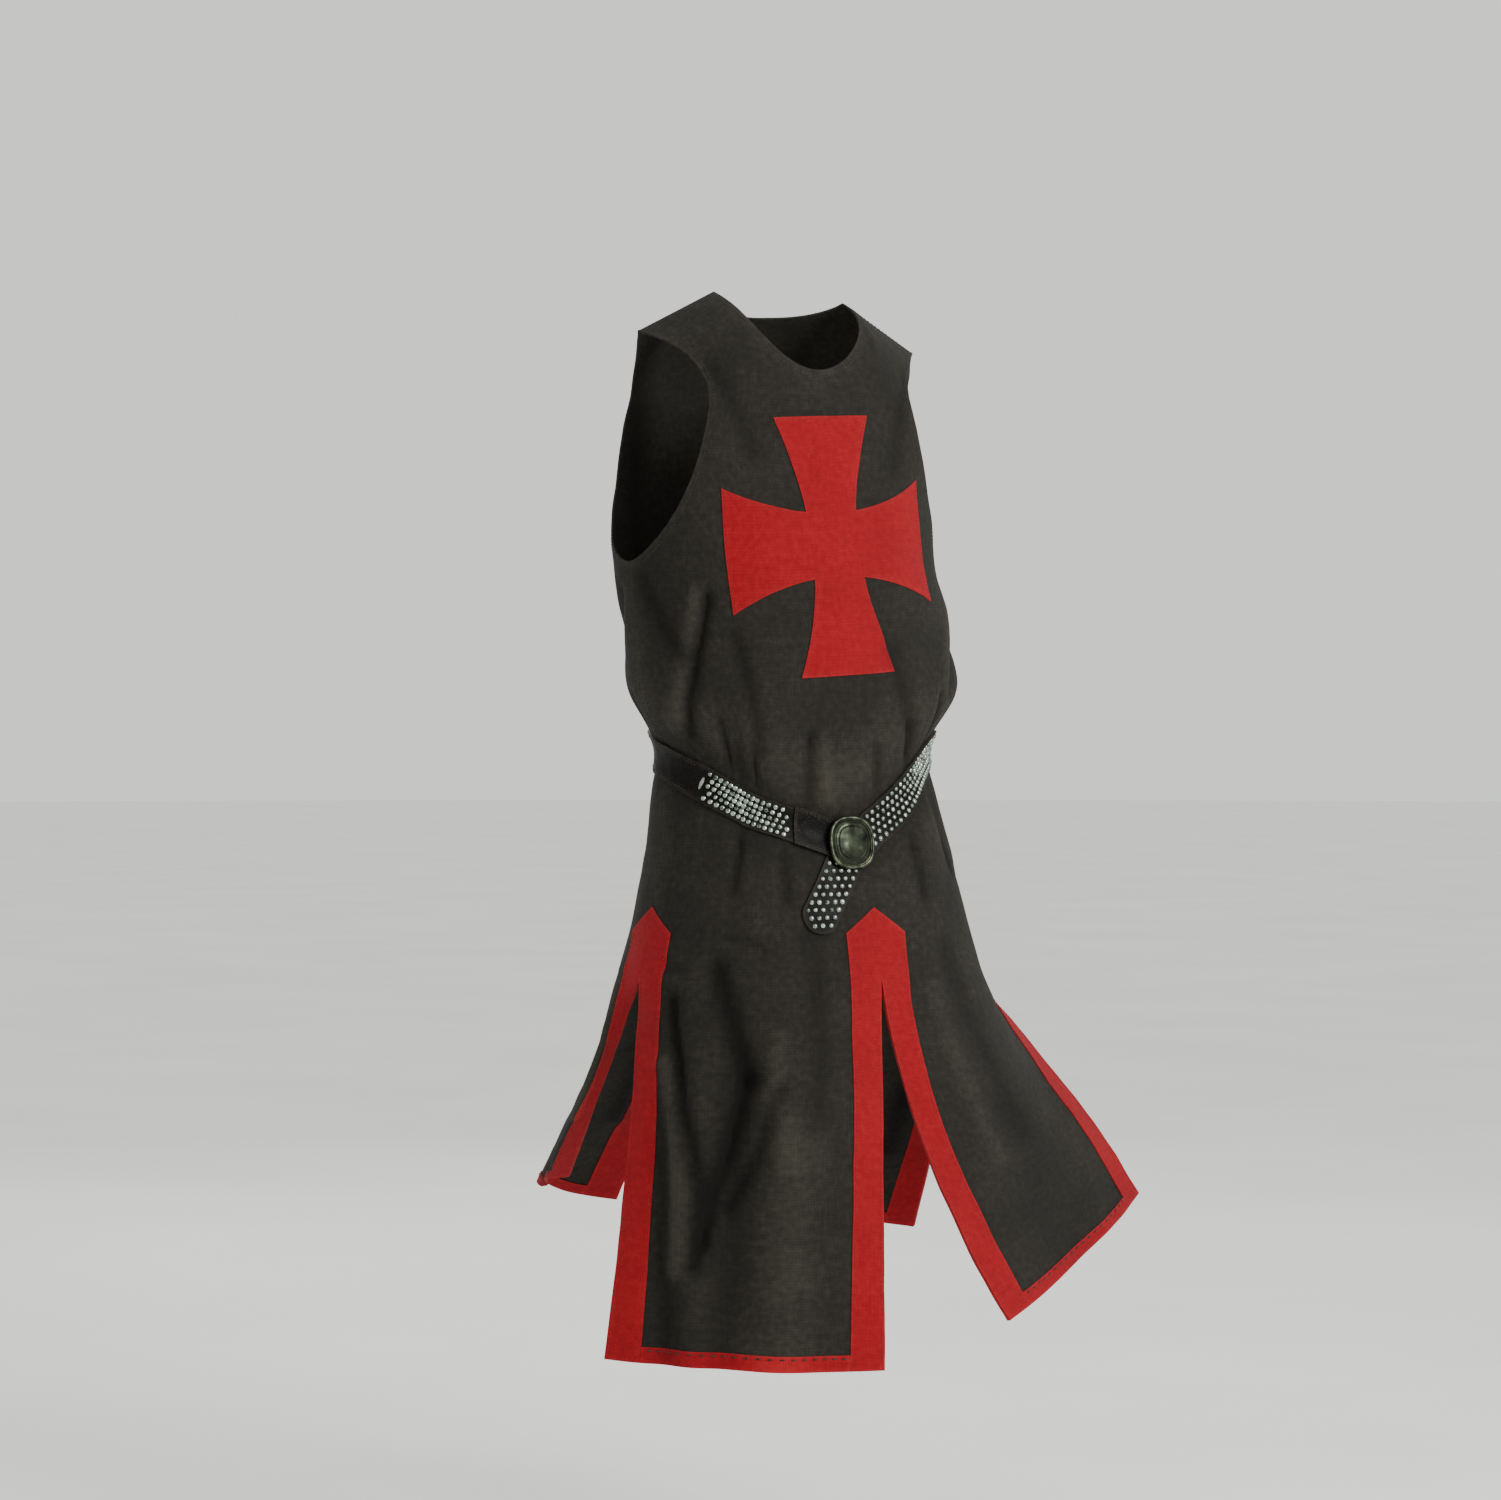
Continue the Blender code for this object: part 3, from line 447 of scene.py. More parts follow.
@dataclass
class Relief:
    """Folds, creases and the belt's pull, as heights above the plain worn shape.

    Attributes:
        fold_fade: How far a fold takes to rise and to die away.
        belt_groove: How deep the belt pulls the cloth in.
        belt_spread: How far that reaches up and down.
        blouse_swell: How far the cloth blouses out above the belt.
        blouse_rise: How far above the belt it does.
        belt_press: How far above and below its middle the belt presses the folds flat.
        crease_share: How much deeper than in the table the creases are, so that dark cloth shows them.
        unrest: Height of the uneven waves that worn cloth has everywhere, with their length.
        seam_calm: How far below the shoulder seams the waves take to rise, so that they stay shut.
        broad_share: How much of folds and waves the finish reads as painted shade and light, next to all of
            the creases.
    """

    fold_fade: float = 0.110
    belt_groove: float = 0.008
    belt_spread: float = 0.030
    blouse_swell: float = 0.007
    blouse_rise: float = 0.070
    belt_press: float = 0.033
    crease_share: float = 1.55
    unrest: tuple[Flat, ...] = ((0.0018, 0.070), (0.0008, 0.026))
    seam_calm: float = 0.040
    broad_share: float = 0.3

    def apart(self, around: np.ndarray, place: float) -> np.ndarray:
        """Distance round from a place, the short way, for an array of places."""
        return (around - place + CUT.turn / 2) % CUT.turn - CUT.turn / 2

    def below_belt(self, around: np.ndarray, down: np.ndarray) -> np.ndarray:
        """How far below the middle of the belt each place lies."""
        return down - np.array([[belt_down(place)] for place in around.ravel()])

    def free_of_belt(self, below: np.ndarray) -> np.ndarray:
        """How much of a fold the belt leaves, at a distance below its middle."""
        return 1 - np.exp(-((below / self.belt_press) ** 4))

    def folds(self, around: np.ndarray, down: np.ndarray) -> np.ndarray:
        """Heights of the large folds, as the solid model has them, and of the belt's pull."""
        height = np.zeros(np.broadcast(around, down).shape)
        below = self.below_belt(around, down)
        for fold in FOLDS:
            share = (down - fold.top) / (fold.foot - fold.top)
            away = self.apart(around, fold.around + fold.drift * share)
            window = soft_step(down, fold.top, fold.top + self.fold_fade)
            window = window * (1 - soft_step(down, fold.foot - self.fold_fade, fold.foot))
            height += fold.depth * window * np.exp(-((away / fold.half_width) ** 2))
        height *= self.free_of_belt(below)
        height -= self.belt_groove * np.exp(-((below / self.belt_spread) ** 2))
        height += self.blouse_swell * np.exp(-(((below + self.blouse_rise) / self.belt_spread) ** 2))
        return height

    def creases(self, around: np.ndarray, down: np.ndarray) -> np.ndarray:
        """Heights of the narrow creases, each a soft trough or ridge along its path."""
        height = np.zeros(np.broadcast(around, down).shape)
        below = self.below_belt(around, down)
        for line in CREASES:
            nearest = np.full(height.shape, np.inf)
            for (a0, d0), (a1, d1) in zip(line.path, line.path[1:]):
                x, y = self.apart(around, a0), down - d0
                run, drop = a1 - a0, d1 - d0
                share = np.clip((x * run + y * drop) / (run * run + drop * drop), 0.0, 1.0)
                nearest = np.minimum(nearest, np.hypot(x - share * run, y - share * drop))
            height += line.depth * np.exp(-((nearest / line.half_width) ** 2))
        return height * self.crease_share * self.free_of_belt(below)

    def waves(self, points: np.ndarray) -> np.ndarray:
        """Small uneven waves at each point of the net, the same on every run."""
        height = np.zeros(points.shape[:2])
        for tall, long in self.unrest:
            for i, column in enumerate(points):
                height[i] += [tall * noise.noise(Vector(point) / long) for point in column]
        return height


class ClothNet:
    """The cloth's net of columns and rows, bent into the worn shape with all its folds."""

    def __init__(self, form: WornForm, relief: Relief, cell: float) -> None:
        """Bends the net.

        Args:
            form: The worn shape.
            relief: The folds and creases on it.
            cell: The size of a cell of the net, in metres.
        """
        cut = form.cut
        self.cut = cut
        in_strip = round((cut.strip_width - cut.slit / 2) / cell)
        in_middle = round((cut.quarter - 2 * cut.strip_width) / cell)
        strip = np.linspace(cut.slit / 2, cut.strip_width, in_strip + 1)
        middle = np.linspace(cut.strip_width, cut.quarter - cut.strip_width, in_middle + 1)
        quarter = [*strip[:-1], *middle[:-1], *(cut.quarter - strip[::-1])]
        self.edge_cell = float(strip[1] - strip[0])
        self.a_quarter = len(quarter)
        self.columns = np.array([k * cut.quarter + around for k in range(4) for around in quarter])
        self.count = len(self.columns)
        upper = np.linspace(0, cut.slit_top, round(cut.slit_top / cell) + 1)
        lower = np.linspace(cut.slit_top, cut.hem, round((cut.hem - cut.slit_top) / cell) + 1)
        self.rows = np.array([*upper, *lower[1:]])
        self.slit_row = len(upper) - 1
        self.arm_row = int(np.searchsorted(self.rows, cut.armhole_foot - cut.armhole_margin))
        columns = []
        for i, around in enumerate(self.columns):
            k = i // self.a_quarter
            away = around - k * cut.quarter
            distance = away if k % 2 == 0 else cut.quarter - away
            columns.append(form.column(QUARTERS[k], float(distance), self.rows))
        self.points = np.array(columns)
        around = self.columns[:, None]
        down = self.rows[None, :] - cut.shoulder_rise
        creases = relief.creases(around, down)
        waves = relief.waves(self.points) * soft_step(self.rows, 0.0, relief.seam_calm)
        heights = relief.folds(around, down) + creases + waves
        # the cotton finish paints shade in troughs and light on ridges from these heights
        self.relief = creases + relief.broad_share * (heights - creases)
        self.points += self.directions() * heights[:, :, None]
        self.normals = self.directions()
        self.mitre_shoulders()

    def mitre_shoulders(self) -> None:
        """Leans the edges of front and back against each other, so that no light shows in the seam."""
        across = (2 * self.a_quarter - 1 - np.arange(self.count)) % self.count
        own = self.normals[:, 0].copy()
        mean = own + own[across]
        mean /= np.maximum(np.linalg.norm(mean, axis=1, keepdims=True), TINY)
        self.normals[:, 0] = mean / np.maximum((mean * own).sum(axis=1, keepdims=True), LEAST_MITRE)

    def is_slit(self, column: np.ndarray) -> np.ndarray:
        """Whether the cell after a column lies on a centre line or a side seam."""
        return column % self.a_quarter == self.a_quarter - 1

    def directions(self) -> np.ndarray:
        """The mean direction out of the cloth at every point of the net."""
        after = np.roll(self.points, -1, axis=0)
        first, second = self.points[:, :-1], after[:, :-1]
        third, fourth = after[:, 1:], self.points[:, 1:]
        faces = np.cross(third - first, second - fourth)
        faces /= np.maximum(np.linalg.norm(faces, axis=2, keepdims=True), TINY)
        column, row = np.arange(self.count)[:, None], np.arange(len(self.rows) - 1)[None, :]
        at_side = column // self.a_quarter % 2 == 0
        is_open = self.is_slit(column) & ((row >= self.slit_row) | (at_side & (row < self.arm_row)))
        faces[is_open] = 0
        total = np.zeros_like(self.points)
        for shared in (faces, np.roll(faces, 1, axis=0)):
            total[:, :-1] += shared
            total[:, 1:] += shared
        return total / np.maximum(np.linalg.norm(total, axis=2, keepdims=True), TINY)

    def corners(self, flat: np.ndarray) -> tuple:
        """The net cell of each pattern point.

        Args:
            flat: Rows of distance round, distance down and height.

        Returns:
            Numbers of the column before and after, of the row, and the shares across and down.
        """
        laps, rest = np.divmod(flat[:, 0] - self.columns[0], self.cut.turn)
        starts = np.append(self.columns - self.columns[0], self.cut.turn)
        column = laps * self.count + np.interp(rest, starts, np.arange(self.count + 1))
        row = np.interp(flat[:, 1], self.rows, np.arange(len(self.rows)))
        past = (flat[:, 1] - self.rows[-1]) / (self.rows[-1] - self.rows[-2])
        row = np.where(past > 0, len(self.rows) - 1 + past, row)
        near = np.round(column)
        column = np.where(np.abs(near - column) < 1e-3, near, column)
        i = np.floor(column).astype(int)
        j = np.clip(np.floor(row).astype(int), 0, len(self.rows) - 2)
        across, down = column - i, row - j
        in_slit = self.is_slit(i % self.count) & (j >= self.slit_row) & (across > 0)
        before = across < 0.5
        wide = self.cut.slit / self.edge_cell
        across = np.where(in_slit, np.where(before, 1 + across * wide, (across - 1) * wide), across)
        i = np.where(in_slit, np.where(before, i - 1, i + 1), i)
        return i % self.count, (i + 1) % self.count, j, across, down

    def read(self, grid: np.ndarray, where: tuple) -> np.ndarray:
        """Reads values that stand at the net's points, between those points."""
        first, after, j, across, down = where
        if grid.ndim == 3:
            across, down = across[:, None], down[:, None]
        upper = grid[first, j] * (1 - across) + grid[after, j] * across
        lower = grid[first, j + 1] * (1 - across) + grid[after, j + 1] * across
        return upper * (1 - down) + lower * down

    def laid(self, flat: np.ndarray) -> np.ndarray:
        """The worn places of pattern points.

        Args:
            flat: Rows of distance round, distance down the cloth, and height above its inner face.

        Returns:
            Rows of x, y and z.
        """
        flat = np.atleast_2d(np.asarray(flat, float))
        where = self.corners(flat)
        return self.read(self.points, where) + self.read(self.normals, where) * flat[:, 2:3]

    def frame_at(self, around: float, row: float, height: float) -> tuple[Vector, Vector, Vector]:
        """The place of a pattern point, with the directions round and out of the cloth there."""
        step = 0.002
        here, beside, below = self.laid(
            [(around, row, height), (around + step, row, height), (around, row + step, height)]
        )
        side = Vector(beside - here).normalized()
        out = Vector(below - here).cross(side).normalized()
        return Vector(here), side, out


# Flat patterns and how they become pieces --------------------------------------------------------


class Layer(NamedTuple):
    """A flat pattern with the heights of its two faces above the cloth's inner face.

    `cuts` and `row_cuts` are further lines to cut it along. `open_low` and `open_high` are
    stretches (least and greatest distance round, then down) where that face is left out, because
    another layer joins there.
    """

    outline: list[Flat]
    low: float
    high: float
    cuts: tuple = ()
    row_cuts: tuple = ()
    open_low: tuple = ()
    open_high: tuple = ()


def bisect(mesh: bmesh.types.BMesh, place: tuple, normal: tuple) -> None:
    """Cuts all of a flat mesh by one plane."""
    geometry = mesh.verts[:] + mesh.edges[:] + mesh.faces[:]
    bmesh.ops.bisect_plane(mesh, geom=geometry, dist=LEVEL, plane_co=place, plane_no=normal)


def flat_layer(net: ClothNet, layer: Layer) -> bmesh.types.BMesh:
    """Cuts a pattern along the net and gives it its two faces and its edge.

    Args:
        net: The cloth's net, whose lines the pattern is cut along.
        layer: The pattern.

    Returns:
        A mesh in pattern coordinates, with height as z.
    """
    mesh = bmesh.new()
    mesh.faces.new([mesh.verts.new((around, row, layer.low)) for around, row in layer.outline])
    arounds = [around for around, _ in layer.outline]
    rows = [row for _, row in layer.outline]
    columns = [line + lap * net.cut.turn for lap in (-1, 0, 1) for line in net.columns]
    for line in [*columns, *layer.cuts]:
        if min(arounds) < line < max(arounds):
            bisect(mesh, (line, 0, 0), (1, 0, 0))
    for line in [*net.rows, *layer.row_cuts]:
        if min(rows) < line < max(rows):
            bisect(mesh, (0, line, 0), (0, 1, 0))
    raised = bmesh.ops.extrude_face_region(mesh, geom=mesh.faces[:])["geom"]
    lift = [part for part in raised if isinstance(part, bmesh.types.BMVert)]
    bmesh.ops.translate(mesh, vec=(0, 0, layer.high - layer.low), verts=lift)
    left_out = []
    for stretches, height in ((layer.open_low, layer.low), (layer.open_high, layer.high)):
        for least, most, upper, lower in stretches:
            for face in mesh.faces:
                x, y, z = face.calc_center_median()
                if abs(z - height) < LEVEL and least < x < most and upper < y < lower:
                    left_out.append(face)
    bmesh.ops.delete(mesh, geom=left_out, context="FACES")
    return mesh


def distance_to_edge(points: np.ndarray, outline: list[Flat], most: float) -> np.ndarray:
    """How far each pattern point lies from the outline, up to a greatest distance."""
    near = np.full(len(points), most)
    corners = np.asarray(outline, float)
    for start, end in zip(corners, np.roll(corners, -1, axis=0)):
        run = end - start
        away = points - start
        share = np.clip(away @ run / max(run @ run, TINY), 0.0, 1.0)
        near = np.minimum(near, np.linalg.norm(away - share[:, None] * run, axis=1))
    return near


def flat_area(outline: list[Flat]) -> float:
    """The area inside an outline, in square metres."""
    x, y = np.asarray(outline, float).T
    return abs(float(x @ np.roll(y, -1) - y @ np.roll(x, -1))) / 2


def moved(outline: list[Flat], around: float) -> list[Flat]:
    """The outline, moved round the garment."""
    return [(point[0] + around, point[1]) for point in outline]


def in_scene(name: str, data: bpy.types.ID) -> bpy.types.Object:
    """Adds an object to the scene."""
    thing = bpy.data.objects.new(name, data)
    bpy.context.scene.collection.objects.link(thing)
    return thing


def add_object(name: str, data: bpy.types.Mesh, material: bpy.types.Material) -> bpy.types.Object:
    """Adds a finished mesh with its material to the scene, riding on the garment."""
    data.materials.append(material)
    piece = in_scene(name, data)
    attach(piece, BODY)
    LOG.info("%s: %d faces", name, len(data.polygons))
    return piece


def mesh_object(name: str, mesh: bmesh.types.BMesh, material: bpy.types.Material) -> bpy.types.Object:
    """Adds a finished bmesh as a smooth piece."""
    data = bpy.data.meshes.new(name)
    mesh.to_mesh(data)
    mesh.free()
    data.shade_smooth()
    data.set_sharp_from_angle(angle=CAST_EDGE)
    return add_object(name, data, material)


def repeated(template: bmesh.types.BMesh, matrices: list[Matrix], name: str) -> bpy.types.Mesh:
    """Joins many placed copies of one small shape into a mesh.

    Args:
        template: The shape, which is freed.
        matrices: Where each copy goes.
        name: The mesh's name.

    Returns:
        The joined mesh.
    """
    template.verts.ensure_lookup_table()
    corners = np.array([(*vertex.co, 1.0) for vertex in template.verts])
    faces = [[vertex.index for vertex in face.verts] for face in template.faces]
    template.free()
    placed = np.array([corners @ np.array(matrix).T for matrix in matrices])[:, :, :3].reshape(-1, 3)
    joined = [[n + k * len(corners) for n in face] for k in range(len(matrices)) for face in faces]
    data = bpy.data.meshes.new(name)
    data.from_pydata(placed.tolist(), [], joined)
    data.shade_smooth()
    return data


@dataclass
class SewnPiece:
    """A piece of cloth or leather that is cut flat and laid on the net.

    Attributes:
        name: The piece's name.
        node: The solid node that it stands for.
        slot: The name of its material slot in the record. It is not used.
        layers: Its flat layers.
        wear_width: How far wear reaches in from its edge.
    """

    name: str
    node: str
    slot: str
    layers: tuple[Layer, ...]
    wear_width: float = 0.030

    def build(self, net: ClothNet, material: bpy.types.Material) -> bpy.types.Object:
        """Cuts the layers, joins them and lays them on the net.

        Args:
            net: The cloth's net.
            material: The piece's finish.

        Returns:
            The piece.
        """
        whole = bmesh.new()
        for layer in self.layers:
            mesh = flat_layer(net, layer)
            data = bpy.data.meshes.new("layer")
            mesh.to_mesh(data)
            mesh.free()
            whole.from_mesh(data)
            bpy.data.meshes.remove(data)
        bmesh.ops.remove_doubles(whole, verts=whole.verts, dist=WELD)
        bmesh.ops.recalc_face_normals(whole, faces=whole.faces)
        if whole.calc_volume(signed=True) > 0:  # pattern coordinates are left-handed
            bmesh.ops.reverse_faces(whole, faces=whole.faces)
        data = bpy.data.meshes.new(self.name)
        whole.to_mesh(data)
        whole.free()
        self.lay(net, data)
        piece = add_object(self.name, data, material)
        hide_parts(self.node)
        return piece

    def lay(self, net: ClothNet, data: bpy.types.Mesh) -> None:
        """Moves a flat mesh to its worn place, and keeps its pattern as UV map and attributes."""
        flat = np.empty(len(data.vertices) * 3, np.float32)
        data.vertices.foreach_get("co", flat)
        flat = flat.reshape(-1, 3).astype(float)
        corner = np.empty(len(data.loops), np.int32)
        data.loops.foreach_get("vertex_index", corner)
        pattern = data.uv_layers.new(name=UV_NAME)
        pattern.uv.foreach_set("vector", flat[corner, :2].astype(np.float32).ravel())
        inwards = distance_to_edge(flat[:, :2], self.layers[0].outline, self.wear_width)
        relief = net.read(net.relief, net.corners(flat))
        # relief is the fold height, which the cotton finish paints as shade in troughs and light on ridges
        facts = {"wear": 1 - inwards / self.wear_width, "relief": relief}
        for name, values in facts.items():
            attribute = data.attributes.new(name, "FLOAT", "POINT")
            attribute.data.foreach_set("value", values.astype(np.float32))
        data.vertices.foreach_set("co", net.laid(flat).astype(np.float32).ravel())
        data.update()
        data.shade_smooth()
        data.set_sharp_from_angle(angle=CLOTH_EDGE)


# Finishes ----------------------------------------------------------------------------------------


def linear(colour: str) -> tuple[float, float, float, float]:
    """An sRGB hex colour as linear light, with an alpha of 1."""
    parts = [int(colour[n : n + 2], 16) / 255 for n in (1, 3, 5)]
    light = [c / 12.92 if c <= 0.04045 else ((c + 0.055) / 1.055) ** 2.4 for c in parts]
    return light[0], light[1], light[2], 1.0


class Finish:
    """A material that is made of values and nodes on its Principled shader's own sockets."""

    def __init__(self, name: str, sockets: dict) -> None:
        """Makes the material.

        Args:
            name: The material's name.
            sockets: Plain values of the Principled shader's sockets, by name.
        """
        self.material = bpy.data.materials.new(name)
        self.material.use_nodes = True
        self.tree = self.material.node_tree
        self.shader = self.tree.nodes["Principled BSDF"]
        for socket, value in sockets.items():
            self.shader.inputs[socket].default_value = value

    def add(self, kind: str, inputs: dict | None = None, **settings) -> bpy.types.Node:
        """Adds a node.

        Args:
            kind: The node's type, without its leading ShaderNode.
            inputs: What goes into its sockets, by name or number: a value, or another's output.
            **settings: The node's own settings.

        Returns:
            The node.
        """
        node = self.tree.nodes.new("ShaderNode" + kind)
        for name, value in settings.items():
            setattr(node, name, value)
        for name, value in (inputs or {}).items():
            if isinstance(value, Socket):
                self.tree.links.new(value, node.inputs[name])
            else:
                node.inputs[name].default_value = value
        return node

    def place(self) -> Socket:
        """The place on the object, in metres."""
        return self.add("TexCoord").outputs["Object"]

    def attribute(self, name: str) -> Socket:
        """A value that the mesh keeps for each of its points."""
        return self.add("Attribute", attribute_name=name).outputs["Fac"]

    def cloud(self, place: Socket, scale: float, detail: float, roughness: float = 0.5) -> Socket:
        """Uneven clouds, about `scale` of them to the metre."""
        inputs = {"Vector": place, "Scale": scale, "Detail": detail, "Roughness": roughness}
        return self.add("TexNoise", inputs).outputs["Fac"]

    def maths(self, operation: str, *values) -> Socket:
        """A calculation with numbers and other nodes' outputs."""
        return self.add("Math", dict(enumerate(values)), operation=operation).outputs[0]

    def ramp(self, factor: Socket, *stops: tuple) -> Socket:
        """Turns a factor into colours or grey levels.

        Args:
            factor: What the ramp reads.
            *stops: Pairs of place and colour, where a colour is a hex string or a grey level.

        Returns:
            The ramp's colour output.
        """
        node = self.add("ValToRGB", {"Fac": factor})
        while len(node.color_ramp.elements) < len(stops):
            node.color_ramp.elements.new(0.5)
        for element, (place, colour) in zip(node.color_ramp.elements, stops):
            element.position = place
            element.color = linear(colour) if isinstance(colour, str) else (colour, colour, colour, 1.0)
        return node.outputs["Color"]

    def bump(self, height: Socket, distance: float, strength: float, over: Socket | None = None) -> Socket:
        """Raises the surface by a height, over another bump if one is given."""
        inputs = {"Height": height, "Distance": distance, "Strength": strength}
        if over is not None:
            inputs["Normal"] = over
        return self.add("Bump", inputs).outputs[0]

    def finished(self, links: dict[str, Socket]) -> bpy.types.Material:
        """Links outputs to the Principled shader's sockets, and gives back the material."""
        for socket, output in links.items():
            self.tree.links.new(output, self.shader.inputs[socket])
        return self.material


@dataclass(frozen=True)
class DyedCotton:
    """Plain-woven dyed cotton: a dry surface with a soft bloom at grazing angles.

    The yarns are drawn 1.7 mm apart, about three times their real spacing, because finer ones
    can't show at the size of the picture. Slubs run along both sets of yarns, the dye is uneven,
    and rubbed edges are paler. Ridges are painted paler and troughs darker, as painted light and
    shade of the folds.

    Attributes:
        name: The material's name.
        trough: Hex colour where the dye is deepest, and of the painted shade in the troughs.
        body: Hex colour of most of the cloth.
        crest: Hex colour of rubbed edges, and of the painted light on ridges.
        yarn: Distance between yarns, in millimetres.
        bloom: Weight of the sheen.
        contrast: How much the uneven dye shows.
        slub_tone: How much slubs change the tone.
        dye_tone: How much large clouds of dye do.
        mottle_tone: How much small clouds of dye do.
        weave_tone: How much the yarns do.
        relief_shade_tone: How much painted light and shade a metre of relief gives, paler on ridges and
            darker in troughs.
        rub_tone: How much rubbed edges do.
    """

    name: str
    trough: str
    body: str
    crest: str
    yarn: float = 1.7
    bloom: float = 0.05
    contrast: float = 0.85
    slub_tone: float = 0.22
    dye_tone: float = 0.75
    mottle_tone: float = 0.80
    weave_tone: float = 0.16
    relief_shade_tone: float = 75.0
    rub_tone: float = 0.35

    def material(self) -> bpy.types.Material:
        """Builds the node tree."""
        dry = {"Sheen Weight": self.bloom, "Sheen Roughness": 0.55, "Specular IOR Level": 0.10, "IOR": 1.5}
        finish = Finish(self.name, dry)
        pattern = finish.add("UVMap", uv_map=UV_NAME).outputs["UV"]
        turns = 2 * math.pi / (20 * self.yarn / 1000)  # at scale 1 it draws a band every 2 pi / 20
        yarns = {"Vector": pattern, "Scale": turns, "Distortion": 0.35, "Detail Scale": 0.4}
        sets = [finish.add("TexWave", yarns, bands_direction=way).outputs["Fac"] for way in "XY"]
        weave = finish.maths("ADD", *sets)
        slubs = []
        for stretch in ((520.0, 24.0, 1.0), (24.0, 520.0, 1.0)):
            drawn_out = finish.add("Mapping", {"Vector": pattern, "Scale": stretch}).outputs["Vector"]
            slubs.append(finish.cloud(drawn_out, 1.0, 2.0))
        slub = finish.maths("ADD", *slubs)
        dye = finish.cloud(pattern, 11.0, 5.0, 0.62)
        mottle = finish.cloud(pattern, 130.0, 3.0, 0.6)
        edges = finish.maths("POWER", finish.attribute("wear"), 3.0)
        rubbed = finish.maths("MULTIPLY", edges, finish.cloud(pattern, 55.0, 3.0))
        slub_share = self.slub_tone * self.contrast
        tone = finish.maths("MULTIPLY_ADD", slub, slub_share, -slub_share + 0.5)
        for source, share, middle in (
            (dye, self.dye_tone * self.contrast, 0.5),
            (mottle, self.mottle_tone * self.contrast, 0.5),
            (weave, self.weave_tone, 1.0),
            # painted shade in the troughs and painted light on the ridges, from the fold height
            (finish.attribute("relief"), self.relief_shade_tone, 0.0),
            (rubbed, self.rub_tone, 0.0),
        ):
            step = finish.maths("MULTIPLY_ADD", source, share, -share * middle)
            tone = finish.maths("ADD", tone, step)
        threads = finish.bump(weave, 0.00022, 0.55)
        knots = finish.bump(slub, 0.0006, 0.35, threads)
        return finish.finished(
            {
                # the ramp runs from deep dye and painted trough shade to rubbed edges and painted ridge
                # light
                "Base Color": finish.ramp(tone, (0.0, self.trough), (0.5, self.body), (1.0, self.crest)),
                "Roughness": finish.ramp(dye, (0.3, 0.80), (0.7, 0.95)),
                "Normal": finish.bump(finish.cloud(pattern, 60.0, 4.0, 0.55), 0.0026, 0.50, knots),
            }
        )


@dataclass(frozen=True)
class BeltLeather:
    """Vegetable-tanned leather, dyed black and rolled: fine grain, a dull polish, scuffed edges.

    Attributes:
        name: The material's name.
        deep: Hex colour in the grain's creases.
        face: Hex colour of the polished face.
        scuff: Hex colour of the rubbed edges.
        grain: Width of the grain's cells, in millimetres, drawn a little coarse so that it shows.
        scuff_tone: How much rubbed edges change the tone.
    """

    name: str
    deep: str
    face: str
    scuff: str
    grain: float = 2.2
    scuff_tone: float = 0.75

    def material(self) -> bpy.types.Material:
        """Builds the node tree."""
        finish = Finish(self.name, {"IOR": 1.5, "Specular IOR Level": 0.07})
        place = finish.place()
        grain = {"Vector": place, "Scale": 1000 / self.grain}
        cells = finish.add("TexVoronoi", grain, feature="DISTANCE_TO_EDGE").outputs["Distance"]
        cloud = finish.cloud(place, 70.0, 4.0)
        rubbed = finish.maths("MULTIPLY", finish.attribute("wear"), cloud)
        tone = finish.maths("ADD", cells, finish.maths("MULTIPLY", rubbed, self.scuff_tone))
        pores = finish.bump(cells, 0.0004, 0.5)
        return finish.finished(
            {
                "Base Color": finish.ramp(tone, (0.0, self.deep), (0.18, self.face), (0.85, self.scuff)),
                "Roughness": finish.ramp(cloud, (0.3, 0.42), (0.7, 0.64)),
                "Normal": finish.bump(cloud, 0.0012, 0.3, pores),
            }
        )


@dataclass(frozen=True)
class WornMetal:
    """A cast or plated metal that has tarnished in its hollows and stayed bright where rubbed.

    Attributes:
        name: The material's name.
        tarnish: Hex colour of the tarnish.
        bright: Hex colour of rubbed metal.
        smooth: Roughness where it is rubbed.
        dull: Roughness where it is tarnished.
        patch: Width of the tarnish's patches, in millimetres.
        rubbed: Hex colour of edges that are rubbed bare.
        rub_tone: How much rubbed edges change the tone.
    """

    name: str
    tarnish: str
    bright: str
    smooth: float
    dull: float
    patch: float
    rubbed: str = "#c9d0c9"
    rub_tone: float = 0.13

    def material(self) -> bpy.types.Material:
        """Builds the node tree."""
        finish = Finish(self.name, {"Metallic": 1.0})
        place = finish.place()
        cloud = finish.cloud(place, 1000 / self.patch, 5.0, 0.6)
        tone = finish.maths("MULTIPLY_ADD", finish.attribute("wear"), self.rub_tone, cloud)
        stops = ((0.34, self.tarnish), (0.60, self.bright), (1.0, self.rubbed))
        return finish.finished(
            {
                "Base Color": finish.ramp(tone, *stops),
                "Roughness": finish.ramp(tone, (0.34, self.dull), (0.62, self.smooth)),
                "Normal": finish.bump(finish.cloud(place, 900.0, 3.0), 0.0003, 0.25),
            }
        )


@dataclass(frozen=True)
class SewingThread:
    """Spun sewing thread: matt, slightly hairy, and uneven in colour from stitch to stitch."""

    name: str
    dark: str
    light: str

    def material(self) -> bpy.types.Material:
        """Builds the node tree."""
        hairy = {"Sheen Weight": 0.05, "Sheen Roughness": 0.5}
        finish = Finish(self.name, {**hairy, "Specular IOR Level": 0.2, "IOR": 1.5, "Roughness": 0.8})
        place = finish.place()
        cloud = finish.cloud(place, 260.0, 2.0)
        return finish.finished(
            {
                "Base Color": finish.ramp(cloud, (0.3, self.dark), (0.7, self.light)),
                "Normal": finish.bump(finish.cloud(place, 1400.0, 2.0), 0.0002, 0.4),
            }
        )


